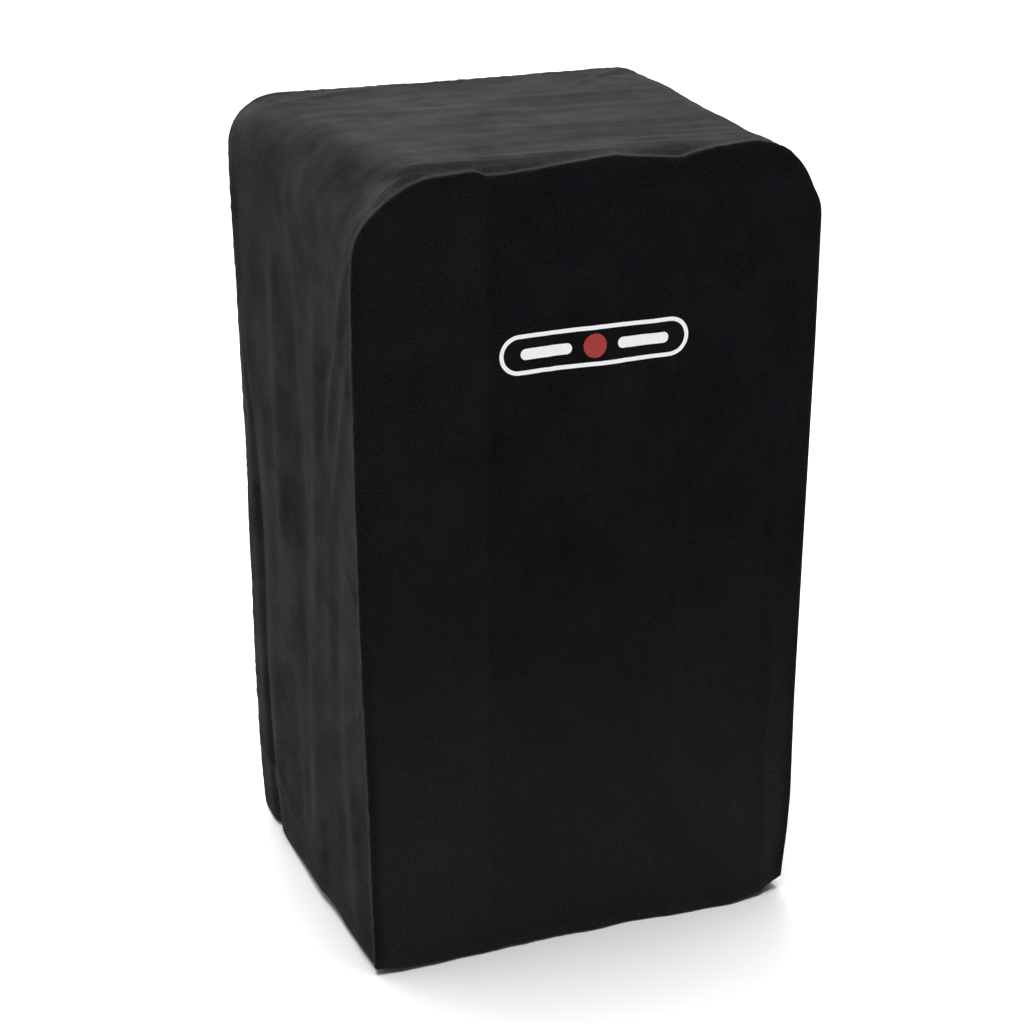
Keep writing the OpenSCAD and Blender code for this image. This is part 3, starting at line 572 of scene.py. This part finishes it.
def cut(outline, spacing, rings=()):
    """Near-even triangles that fill a closed outline; rings are rows of points just inside its edge."""
    low_x, low_z = outline.min(0)
    high_x, high_z = outline.max(0)
    rows = []
    for number, z in enumerate(np.arange(low_z, high_z, spacing * 0.87)):
        x = np.arange(low_x + (number % 2) * spacing / 2, high_x, spacing)
        rows.append(np.stack([x, np.full(len(x), z)], 1))
    fill = np.concatenate(rows)
    fill = fill[inside(fill, outline)]
    margin = (max(rings) if rings else 0) + 0.6 * spacing
    fill = fill[edge_distance(fill, outline)[0] > margin]
    run_on = np.roll(outline, -1, 0) - np.roll(outline, 1, 0)
    inward = np.stack([run_on[:, 1], -run_on[:, 0]], 1) / np.hypot(run_on[:, 0], run_on[:, 1])[:, None]
    extra = [outline + inward * r for r in rings]
    kept = [ring[edge_distance(ring, outline)[0] > 0.8 * r] for ring, r in zip(extra, rings)]
    points = np.concatenate([outline, *kept, fill])
    made = delaunay_2d_cdt([Vector(p) for p in points], [], [list(range(len(outline)))], 1, 1e-7)
    return np.array([tuple(v) for v in made[0]]), made[2]


mesh_step = 4.8 * mm
front_room, back_room = 11.3 * mm, 2.2 * mm          # behind each panel, before it meets the smoker


def panel(name, node, edge, hem_heights, side, relief, seed):
    """A panel cut to its sewn edge and hem. side is -1 at the front and 1 at the back."""
    right_end, left_end = edge[-1], edge[0]
    hem_x = np.linspace(right_end[0], left_end[0], 97)[1:-1]
    hem_edge = np.stack([hem_x, along(hem_x, hem_heights)], 1)
    outline = np.concatenate([edge[:, [0, 2]], hem_edge])
    places, faces = cut(outline, mesh_step, (1.8 * mm, 4.4 * mm))
    x, z = places[:, 0], places[:, 1]
    sewn_distance, sewn = edge_distance(places, edge[:, [0, 2]])
    plane = front_y if side < 0 else back_y
    out = relief(x, z) * smooth(sewn_distance / 0.03)
    gathers = rumple(sewn * mesh_step, sewn_distance, 0.012, 0.3, seed)
    out += 0.3 * mm * gathers * np.exp(-(sewn_distance / 0.012) ** 2)
    settled = (edge[sewn, 1] - plane) * np.exp(-(sewn_distance / 2.6 / mm) ** 2)
    y = plane + side * out + settled
    room = front_room if side < 0 else back_room
    y = np.where(side * (y - plane) < -room, plane - side * room, y)
    on_edge = sewn_distance < 1e-6
    y[on_edge] = edge[sewn[on_edge], 1]
    hem_distance = z - along(x, hem_heights)
    # Painted light: paler towards the hem, standing in for light bounced up from the floor, and a little
    # paler beyond 100 mm left of the middle.
    worn = 0.70 * (1 - smooth(z / 0.47)) + 0.12 * smooth((-100 * mm - x) / 0.02)
    worn *= smooth(sewn_distance / 0.016)                  # painted shade: the cloth beside a seam is kept dark, where the seam allowance shades it
    worn += 0.2 * np.exp(-(sewn_distance / 0.0025) ** 2) + 0.4 * np.exp(-(hem_distance / 0.008) ** 2)
    piece = cloth_piece(name, np.stack([x, y, z], 1), faces, places, np.clip(worn, 0, 1), shaded_panel_cloth,
                        turn_over=side > 0)
    gather_with_door(piece)
    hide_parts(node)
    return piece


def front_relief(x, z):
    """How far the front panel stands forward of its plane."""
    slack = 1 - smooth(z / 0.22)
    relief = along(x, front_flare) * slack ** 1.5 + 1.5 * mm * rumple(x, z, 0.17, 0.33, 31)
    relief += 0.22 * mm * rumple(x, z, 0.03, 0.05, 32)
    relief += folds(
        x, z, ((-108, 800), (-112, 10), 4, -1.3), ((206, 520), (203, 20), 6, 1.8),
        ((96, 560), (92, 20), 5, 1.1), ((-70, 780), (150, 770), 14, 1.2), ((-236, 392), (-140, 408), 4, 1.6),
        ((-60, 420), (190, 470), 5, 0.6), ((-214, 800), (-120, 660), 16, 1.8),
        ((205, 805), (150, 640), 15, 1.8), ((-238, 640), (-200, 500), 12, 1.4),
        ((225, 700), (212, 540), 10, 1.2))
    relief -= 1.8 * mm * np.exp(-((crown - 22 * mm - z) / 0.014) ** 2)
    return relief


def back_relief(x, z):
    """How far the back panel stands behind its plane."""
    relief = 1.2 * mm * (1 + rumple(x, z, 0.16, 0.36, 41)) + 0.2 * mm * rumple(x, z, 0.03, 0.05, 42)
    relief += folds(x, z, ((110, 800), (100, 10), 4, 0.9), ((-225, 520), (-120, 500), 6, 1.4),
                    ((-205, 800), (-150, 640), 14, 1.8), ((200, 800), (140, 650), 14, 1.8))
    relief += along(x, [(-240, 0), (-120, 5), (20, 1), (110, 7), (240, 0)]) * (1 - smooth(z / 0.2))
    return relief


front_panel = panel("cover_front_cloth", "cover_front_panel", front_edge, front_hem, -1, front_relief, 33)
back_panel = panel("cover_back_cloth", "cover_back_panel", back_edge, back_hem, 1, back_relief, 43)

# --------------------------------------------------------------
# Cover hem: the cut edge is turned up inside by 20 mm all the way round and held by one row of
# lockstitch in black polyester thread. The turn-up makes the hem stiffer than the cloth above it.
# --------------------------------------------------------------


def surface_of(*pieces):
    """The outer faces of the cloth pieces, for finding the point under a ray."""
    corners, polygons = [], []
    for piece in pieces:
        start = len(corners)
        corners += [v.co.copy() for v in piece.data.vertices]
        polygons += [[start + v for v in face.vertices] for face in piece.data.polygons]
    return BVHTree.FromPolygons(corners, polygons)


cover_surface = surface_of(front_panel, back_panel, gusset)
panel_span, side_span = np.linspace(-234 * mm, 234 * mm, 104), np.linspace(-194 * mm, 194 * mm, 86)
clear_away = 0.4                                     # farther out than any point of the cover
sides_in_turn = ((panel_span, front_hem, (0, -1)), (side_span, right_hem, (1, 0)),
                 (panel_span[::-1], back_hem, (0, 1)), (side_span[::-1], left_hem, (-1, 0)))

# The walk round the hem: where a level ray starts, its heading, and the hem's height there.
hem_walk = []
for span, hem_heights, (face_x, face_y) in sides_in_turn:
    for place, height in zip(span, along(span, hem_heights)):
        start = (place, face_y * clear_away, 0) if face_y else (face_x * clear_away, place, 0)
        hem_walk.append((Vector(start), Vector((-face_x, -face_y, 0)), height))


def on_cover(origin, heading, height):
    """Where a level ray at a height meets the cover, and the cover's outward normal there."""
    place, normal, _, _ = cover_surface.ray_cast(origin + Vector((0, 0, height)), heading)
    if place is None:
        return None, None
    return place, normal if normal.dot(heading) < 0 else -normal


turned, turned_faces, turned_places = [], [], []
heights = np.array([0.9, 5, 10, 15, 20]) * mm
hem_step = 4.6 * mm
walked = 0
for origin, heading, edge_height in hem_walk:
    found = [on_cover(origin, heading, edge_height + h) for h in heights]
    if any(place is None for place, _ in found):
        continue
    for (place, normal), h in zip(found, heights):
        turned.append(place - normal * (cloth + 0.25 * mm))
        turned_places.append((h, walked * hem_step))
    walked += 1
rows = len(heights)
for lap in range(walked):
    here, ahead = lap * rows, (lap + 1) % walked * rows
    turned_faces += [(here + k, ahead + k, ahead + k + 1, here + k + 1) for k in range(rows - 1)]
turn_up = cloth_piece("cover_hem_turn_up", turned, turned_faces, turned_places, np.zeros(len(turned)),
                      lit_strip_cloth)
gather_with_door(turn_up)

thread, tree, shader = new_material("stitch_thread", (0.008, 0.008, 0.009), 0.6, Specular_IOR_Level=0.1)
place = add(tree, "ShaderNodeTexCoord").outputs["Object"]
ply = add(tree, "ShaderNodeTexWave", Vector=place, Scale=900.0, Distortion=1.0)
feed(shader, Base_Color=blend_colours(tree, ply.outputs["Fac"], (0.004, 0.004, 0.005), (0.014, 0.014, 0.015)))
raised(shader, ply.outputs["Fac"], 0.4, 0.0001)

# One stitch from nose to tail: share of its length, girth and lift, both as shares of the thread's radius.
stitch_profile = ((0.0, 0.35, -0.5), (0.22, 0.95, 0.25), (0.5, 1.0, 0.5), (0.78, 0.95, 0.25),
                  (1.0, 0.35, -0.5))


def stitch_row(name, places, gap, radius):
    """Short round stitches, nose to tail through a row of (place, normal) pairs, half sunk in the cloth."""
    corners, faces = [], []
    sides = 6
    for (start, normal), (end, _) in zip(places[:-1], places[1:]):
        run = end - start
        if run.length > 3 * gap + 6 * mm:
            continue
        forward = run.normalized()
        aside = forward.cross(normal).normalized()
        up = aside.cross(forward)
        base = len(corners)
        for share, girth, lift in stitch_profile:
            centre = start + forward * (gap / 2 + share * (run.length - gap)) + up * lift * radius
            for k in range(sides):
                angle = 2 * math.pi * k / sides
                corners.append(centre + girth * radius * (aside * math.cos(angle) + up * math.sin(angle)))
        for ring_number in range(len(stitch_profile) - 1):
            for k in range(sides):
                a, b = base + ring_number * sides + k, base + ring_number * sides + (k + 1) % sides
                faces.append((a, b, b + sides, a + sides))
        faces.append(tuple(base + k for k in reversed(range(sides))))
        faces.append(tuple(base + (len(stitch_profile) - 1) * sides + k for k in range(sides)))
    return gather_with_door(new_piece(name, corners, faces, thread))


stitch_height, stitch_gap, thread_radius = 17 * mm, 0.9 * mm, 0.42 * mm
stitch_places = [on_cover(origin, heading, height + stitch_height) for origin, heading, height in hem_walk]
stitch_row("cover_hem_stitches", [spot for spot in stitch_places if spot[0] is not None], stitch_gap,
           thread_radius)

# --------------------------------------------------------------
# Cover badge: screen-printed straight on the front panel. A pale outline with two short bars and a
# dull red disc between them; the ink is a thin film that follows the cloth and lets the weave show.
# --------------------------------------------------------------


def ink(name, colour, worn):
    """Matt screen ink with pinholes where the weave shows through."""
    material, tree, shader = new_material(name, colour, 0.62, Specular_IOR_Level=0.25)
    place = add(tree, "ShaderNodeUVMap", uv_map="cloth").outputs[0]
    threads = weave_at(tree, place, 0.3)
    specks = add(tree, "ShaderNodeTexNoise", Vector=place, Scale=1500.0, Detail=3.0).outputs[0]
    missing = math_node(tree, "MULTIPLY", spread(tree, specks, 0.56, 0.72), 0.75)
    thin = math_node(tree, "ADD", missing, spread(tree, threads["Tone"], 0.1, 1.0, 0.16, 0.0))
    feed(shader, Base_Color=blend_colours(tree, thin, colour, worn))
    raised(shader, threads["Height"], 0.35, 0.0003)
    return material


pale_ink = ink("badge_pale_ink", (0.93, 0.93, 0.95), (0.45, 0.45, 0.46))
red_ink = ink("badge_red_ink", (0.36, 0.035, 0.030), (0.12, 0.02, 0.018))
badge_low, badge_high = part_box("cover_badge")
badge_centre, badge_half = (badge_low + badge_high) / 2, (badge_high - badge_low) / 2


def rounded(half_x, half_z, radius, centre_x=0.0, steps=10):
    """Closed outline of a rounded bar about the badge's centre, counter-clockwise seen from the front."""
    corner = np.linspace(0, math.pi / 2, steps)
    points = []
    for quarter, (sx, sz) in enumerate(((1, 1), (-1, 1), (-1, -1), (1, -1))):
        angle = corner + quarter * math.pi / 2
        points.append(np.stack([sx * (half_x - radius) + radius * np.cos(angle),
                                sz * (half_z - radius) + radius * np.sin(angle)], 1))
    loop = np.concatenate(points) + (badge_centre.x + centre_x, badge_centre.z)
    fine = []
    for start, end in zip(loop, np.roll(loop, -1, 0)):
        pieces = math.ceil(np.hypot(*(end - start)) / (2.5 * mm) - 1e-6)
        fine += [start + (end - start) * k / pieces for k in range(pieces)]
    return np.array(fine)


def printed(name, places, faces, material):
    """Lays a flat shape on the front panel as a film of ink."""
    film = 0.16 * mm
    points = []
    for x, z in places:
        place, _, _, _ = cover_surface.ray_cast(Vector((x, -clear_away, z)), Vector((0, 1, 0)))
        points.append((x, place.y - film, z))
    piece = new_piece(name, points, faces, material)
    lay_weave(piece.data, places)
    gather_with_door(piece)
    return piece


band = 4.2 * mm
outer = rounded(badge_half.x, badge_half.z, badge_half.z)
run_on = np.roll(outer, -1, 0) - np.roll(outer, 1, 0)
inward = np.stack([-run_on[:, 1], run_on[:, 0]], 1) / np.hypot(run_on[:, 0], run_on[:, 1])[:, None]
count = len(outer)
ring_places = np.concatenate([outer, outer + inward * band / 2, outer + inward * band])
ring_faces = [(lap * count + k, lap * count + (k + 1) % count, (lap + 1) * count + (k + 1) % count,
               (lap + 1) * count + k) for lap in range(2) for k in range(count)]
outline_print = printed("badge_outline", ring_places, ring_faces, pale_ink)
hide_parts("cover_badge")
for side, bar_name in ((-1, "badge_bar_left"), (1, "badge_bar_right")):
    bar_places, bar_faces = cut(rounded(27 * mm, 5.5 * mm, 5.4 * mm, side * 51 * mm), 3 * mm)
    printed(bar_name, bar_places, bar_faces, pale_ink)
disc_places, disc_faces = cut(rounded(12 * mm, 12 * mm, 11.9 * mm), 3 * mm)
printed("badge_disc", disc_places, disc_faces, red_ink)

# --------------------------------------------------------------
# Casing: folded sheet steel with a satin black powder coat, screwed at the back and carried on
# two front legs and a rear axle. The frame behind the door and the vent plate are coated matt.
# --------------------------------------------------------------

# Worn corners: where a rounded normal leaves the face's own, the piece has an edge that hands rub.
edges, given, made = node_group("edge_wear", [("Width", VALUE), ("Grain", VALUE)], ["Edge", "Peel", "Dust"])
spot = edges.nodes.new("ShaderNodeNewGeometry").outputs
round_edge = edges.nodes.new("ShaderNodeBevel")
round_edge.samples = 4
edges.links.new(given["Width"], round_edge.inputs["Radius"])
alike = add(edges, "ShaderNodeVectorMath", operation="DOT_PRODUCT", i0=round_edge.outputs[0],
            i1=spot["True Normal"]).outputs["Value"]
chips = add(edges, "ShaderNodeTexNoise", Vector=spot["Position"], Scale=220.0, Detail=4.0).outputs[0]
edge = math_node(edges, "MULTIPLY", spread(edges, alike, 0.985, 0.86), spread(edges, chips, 0.45, 0.62))
peel = add(edges, "ShaderNodeTexNoise", Vector=spot["Position"], Scale=given["Grain"], Detail=2.0).outputs[0]
facing = add(edges, "ShaderNodeSeparateXYZ", Vector=spot["True Normal"]).outputs["Z"]
film = add(edges, "ShaderNodeTexNoise", Vector=spot["Position"], Scale=26.0, Detail=5.0, Roughness=0.65)
level = spread(edges, facing, 0.2, 1.0, 0.12, 1.0)
dust = math_node(edges, "MULTIPLY", level, spread(edges, film.outputs[0], 0.38, 0.7))
edges.links.new(edge, made["Edge"])
edges.links.new(peel, made["Peel"])
edges.links.new(dust, made["Dust"])


def coated(name, base, roughness, bare, grain=900.0, relief=0.00008, dusty=0.25, metallic=0.0, coat=0.0,
           specular=0.5):
    """A finish with fine grain, worn edges that show what is under it, and a little dust on top faces."""
    material, tree, shader = new_material(name, base, roughness, Metallic=metallic, Coat_Weight=coat,
                                          Specular_IOR_Level=specular)
    marks = add(tree, "ShaderNodeGroup", node_tree=edges, Width=0.0008, Grain=grain).outputs
    dust_share = math_node(tree, "MULTIPLY", marks["Dust"], dusty)
    colour = blend_colours(tree, marks["Edge"], base, bare)
    feed(shader, Base_Color=blend_colours(tree, dust_share, colour, (0.23, 0.21, 0.19)))
    dull = math_node(tree, "MULTIPLY_ADD", marks["Dust"], 0.25 * dusty + 0.08, roughness)
    feed(shader, Roughness=dull)
    rounded_normal = add(tree, "ShaderNodeBevel", Radius=0.0005, samples=4).outputs[0]
    raised(shader, marks["Peel"], 0.5, relief, rounded_normal)
    return material


def finish(material, *names):
    """Gives CAD nodes their material."""
    for name in names:
        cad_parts[name].data.materials.clear()
        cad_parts[name].data.materials.append(material)


powder = coated("black_powder_coat", (0.008, 0.008, 0.009), 0.58, (0.20, 0.20, 0.21), 700.0, 0.00012,
                dusty=0.12, specular=0.2)
matt = coated("matt_powder_coat", (0.012, 0.012, 0.013), 0.68, (0.18, 0.18, 0.19), 1100.0, 0.0001,
              dusty=0.15, specular=0.2)
zinc = coated("zinc_plate", (0.46, 0.46, 0.48), 0.34, (0.62, 0.62, 0.64), 160.0, 0.00005, 0.15, metallic=1.0)
finish(powder, "cabinet_shell", "back_panel", "base_pan", "front_legs")
finish(matt, "front_frame", "wiring_cover", "vent_plate")
finish(zinc, "panel_screws", "wheel_brackets", "rear_axle", "tray_rails", "hinge_brackets", "strike_plates")
rubber = coated("moulded_rubber", (0.016, 0.016, 0.016), 0.72, (0.03, 0.03, 0.03), 1400.0, 0.0001, 0.5)
tough_plastic = coated("textured_plastic", (0.018, 0.018, 0.019), 0.48, (0.05, 0.05, 0.05), 1500.0, 0.00014,
                       dusty=0.2)
finish(rubber, "rubber_feet")
finish(tough_plastic, "grip_cups", "wheel_left", "wheel_right")

# --------------------------------------------------------------
# Chamber: liner, shelf and racks. The liner is thin stainless sheet that smoke has browned near the
# heater, the racks and rails are chromed wire, and mineral wool fills the space behind.
# --------------------------------------------------------------
brush, given, made = node_group("brushed_lines", [("Place", VECTOR)], ["Lines", "Smoke"])
drawn = add(brush, "ShaderNodeMapping", Vector=given["Place"], Scale=(14.0, 14.0, 1600.0))
lines = add(brush, "ShaderNodeTexNoise", Vector=drawn.outputs[0], Scale=1.0, Detail=3.0).outputs[0]
haze = add(brush, "ShaderNodeTexNoise", Vector=given["Place"], Scale=11.0, Detail=5.0, Roughness=0.6)
height = add(brush, "ShaderNodeSeparateXYZ", Vector=given["Place"]).outputs["Z"]
low_down = spread(brush, height, 0.62, 0.12, 0.15, 1.0)
smoke = math_node(brush, "MULTIPLY", low_down, spread(brush, haze.outputs[0], 0.35, 0.65))
brush.links.new(lines, made["Lines"])
brush.links.new(smoke, made["Smoke"])


def brushed(name, base, roughness, tinted, tint_share):
    """Bare sheet metal with drawn lines, and a brown tint where smoke and heat have reached it."""
    material, tree, shader = new_material(name, base, roughness, Metallic=1.0)
    place = add(tree, "ShaderNodeTexCoord").outputs["Object"]
    marks = add(tree, "ShaderNodeGroup", node_tree=brush, Place=place).outputs
    share = math_node(tree, "MULTIPLY", marks["Smoke"], tint_share)
    feed(shader, Base_Color=blend_colours(tree, share, base, tinted))
    feed(shader, Roughness=spread(tree, marks["Lines"], 0.3, 0.7, roughness - 0.08, roughness + 0.12))
    rounded_normal = add(tree, "ShaderNodeBevel", Radius=0.0004, samples=4).outputs[0]
    raised(shader, marks["Lines"], 0.25, 0.00003, rounded_normal)
    return material


stainless = brushed("stainless_sheet", (0.56, 0.55, 0.53), 0.3, (0.20, 0.13, 0.07), 0.7)
aluminised = brushed("aluminised_sheet", (0.46, 0.46, 0.47), 0.42, (0.26, 0.21, 0.16), 0.4)
chrome = coated("chromed_wire", (0.72, 0.72, 0.73), 0.1, (0.5, 0.45, 0.38), 60.0, 0.00002, 0.12, metallic=1.0)
enamel = coated("black_enamel", (0.012, 0.012, 0.014), 0.14, (0.10, 0.06, 0.05), 90.0, 0.00005, 0.15,
                coat=0.6)
finish(stainless, "chamber_liner", "pan_shelf", "door_liner")
finish(chrome, "rack_rails", "rack_1", "rack_2", "rack_3", "rack_4", "hinge_pins", "chip_lid_pin")
finish(enamel, "water_pan")
finish(aluminised, "grease_tray", "drain_spout", "vent_tube", "damper_disc")

wool, tree, shader = new_material("mineral_wool", (0.60, 0.48, 0.22), 0.95, Sheen_Weight=0.3)
place = add(tree, "ShaderNodeTexCoord").outputs["Object"]
matted = add(tree, "ShaderNodeMapping", Vector=place, Scale=(60.0, 60.0, 420.0))
fibres = add(tree, "ShaderNodeTexNoise", Vector=matted.outputs[0], Scale=2.0, Detail=8.0, Distortion=1.5)
strands = spread(tree, fibres.outputs[0], 0.3, 0.7)
feed(shader, Base_Color=blend_colours(tree, strands, (0.38, 0.28, 0.10), (0.74, 0.64, 0.38)))
raised(shader, fibres.outputs[0], 1.0, 0.003)
finish(wool, "cabinet_insulation", "door_insulation")

# --------------------------------------------------------------
# Heat and smoke: a bent sheathed element with ceramic terminals, a stainless chip box on its stand
# above it, and a probe at the back wall. All of it is blued and browned by heat.
# --------------------------------------------------------------
hot_steel = brushed("heated_stainless", (0.42, 0.38, 0.35), 0.36, (0.14, 0.08, 0.06), 1.0)
sheath = coated("heater_sheath", (0.16, 0.15, 0.15), 0.5, (0.30, 0.26, 0.22), 320.0, 0.0001, 0.3,
                metallic=0.85)
ceramic = coated("glazed_terminal", (0.78, 0.74, 0.66), 0.35, (0.62, 0.58, 0.50), 500.0, 0.00005, 0.2)
finish(hot_steel, "chip_stand", "chip_box", "chip_lid")
finish(stainless, "temperature_sensor")
finish(sheath, "heating_element")
finish(ceramic, "element_terminals")

# --------------------------------------------------------------
# Electrics: a gloss moulded fascia with a tinted window, three keys and a probe socket, a circuit
# board behind it, and a sleeved cable down to the appliance inlet at the back.
# --------------------------------------------------------------
gloss = coated("gloss_moulding", (0.012, 0.012, 0.014), 0.12, (0.04, 0.04, 0.04), 40.0, 0.00002, 0.15,
               coat=0.3)
red_plastic = coated("red_key_plastic", (0.45, 0.03, 0.022), 0.3, (0.55, 0.12, 0.10), 900.0, 0.00005, 0.1)
grey_plastic = coated("grey_key_plastic", (0.46, 0.47, 0.49), 0.32, (0.6, 0.6, 0.62), 900.0, 0.00005, 0.15)
sleeve = coated("cable_sleeve", (0.02, 0.02, 0.022), 0.45, (0.05, 0.05, 0.05), 600.0, 0.00005, 0.1)
brass = coated("turned_brass", (0.70, 0.52, 0.24), 0.26, (0.85, 0.70, 0.40), 300.0, 0.00003, 0.1,
               metallic=1.0)
finish(gloss, "control_fascia")
finish(red_plastic, "button_power")
finish(grey_plastic, "button_up", "button_down")
finish(tough_plastic, "power_inlet", "door_pull")
finish(sleeve, "wiring_harness")
finish(brass, "probe_jack")

lens, tree, shader = new_material("tinted_window", (0.01, 0.014, 0.022), 0.06, Coat_Weight=0.5, Alpha=0.62)
place = add(tree, "ShaderNodeTexCoord").outputs["Object"]
smears = add(tree, "ShaderNodeTexNoise", Vector=place, Scale=70.0, Detail=4.0).outputs[0]
feed(shader, Roughness=spread(tree, smears, 0.4, 0.75, 0.04, 0.22))
finish(lens, "display_lens")

segments, tree, shader = new_material("display_panel", (0.012, 0.02, 0.035), 0.3)
place = add(tree, "ShaderNodeTexCoord").outputs["Object"]
cells = add(tree, "ShaderNodeTexBrick", Vector=place, Scale=260.0, Mortar_Size=0.03)
feed(shader, Base_Color=blend_colours(tree, cells.outputs["Fac"], (0.012, 0.022, 0.04), (0.004, 0.006, 0.01)))
finish(segments, "display_module")

board, tree, shader = new_material("circuit_board", (0.02, 0.12, 0.05), 0.35, Coat_Weight=0.3)
place = add(tree, "ShaderNodeTexCoord").outputs["Object"]
turned_place = add(tree, "ShaderNodeMapping", Vector=place, Rotation=(math.pi / 2, 0, 0))
tracks = add(tree, "ShaderNodeTexBrick", Vector=turned_place.outputs[0], Scale=150.0, Mortar_Size=0.06)
feed(shader, Base_Color=blend_colours(tree, tracks.outputs["Fac"], (0.014, 0.10, 0.04), (0.06, 0.24, 0.09)))
raised(shader, tracks.outputs["Fac"], 0.5, 0.00006)
finish(board, "control_board")

# --------------------------------------------------------------
# Door: an insulated double-skinned leaf on two pins with nylon bushes. A silicone gasket seals it
# against the frame and two magnets in the frame hold it shut.
# --------------------------------------------------------------
silicone = coated("silicone_gasket", (0.085, 0.08, 0.075), 0.6, (0.13, 0.12, 0.11), 800.0, 0.0001, 0.3)
nylon = coated("nylon_bush", (0.70, 0.69, 0.64), 0.42, (0.78, 0.77, 0.72), 700.0, 0.00004, 0.1)
ferrite = coated("sintered_magnet", (0.06, 0.06, 0.065), 0.6, (0.2, 0.2, 0.2), 1200.0, 0.0001, 0.2,
                 metallic=0.4)
finish(powder, "door_skin")
finish(silicone, "door_gasket")
finish(nylon, "hinge_bushes")
finish(ferrite, "magnet_catches")

cad_box = [list(v) for v in cad_box]
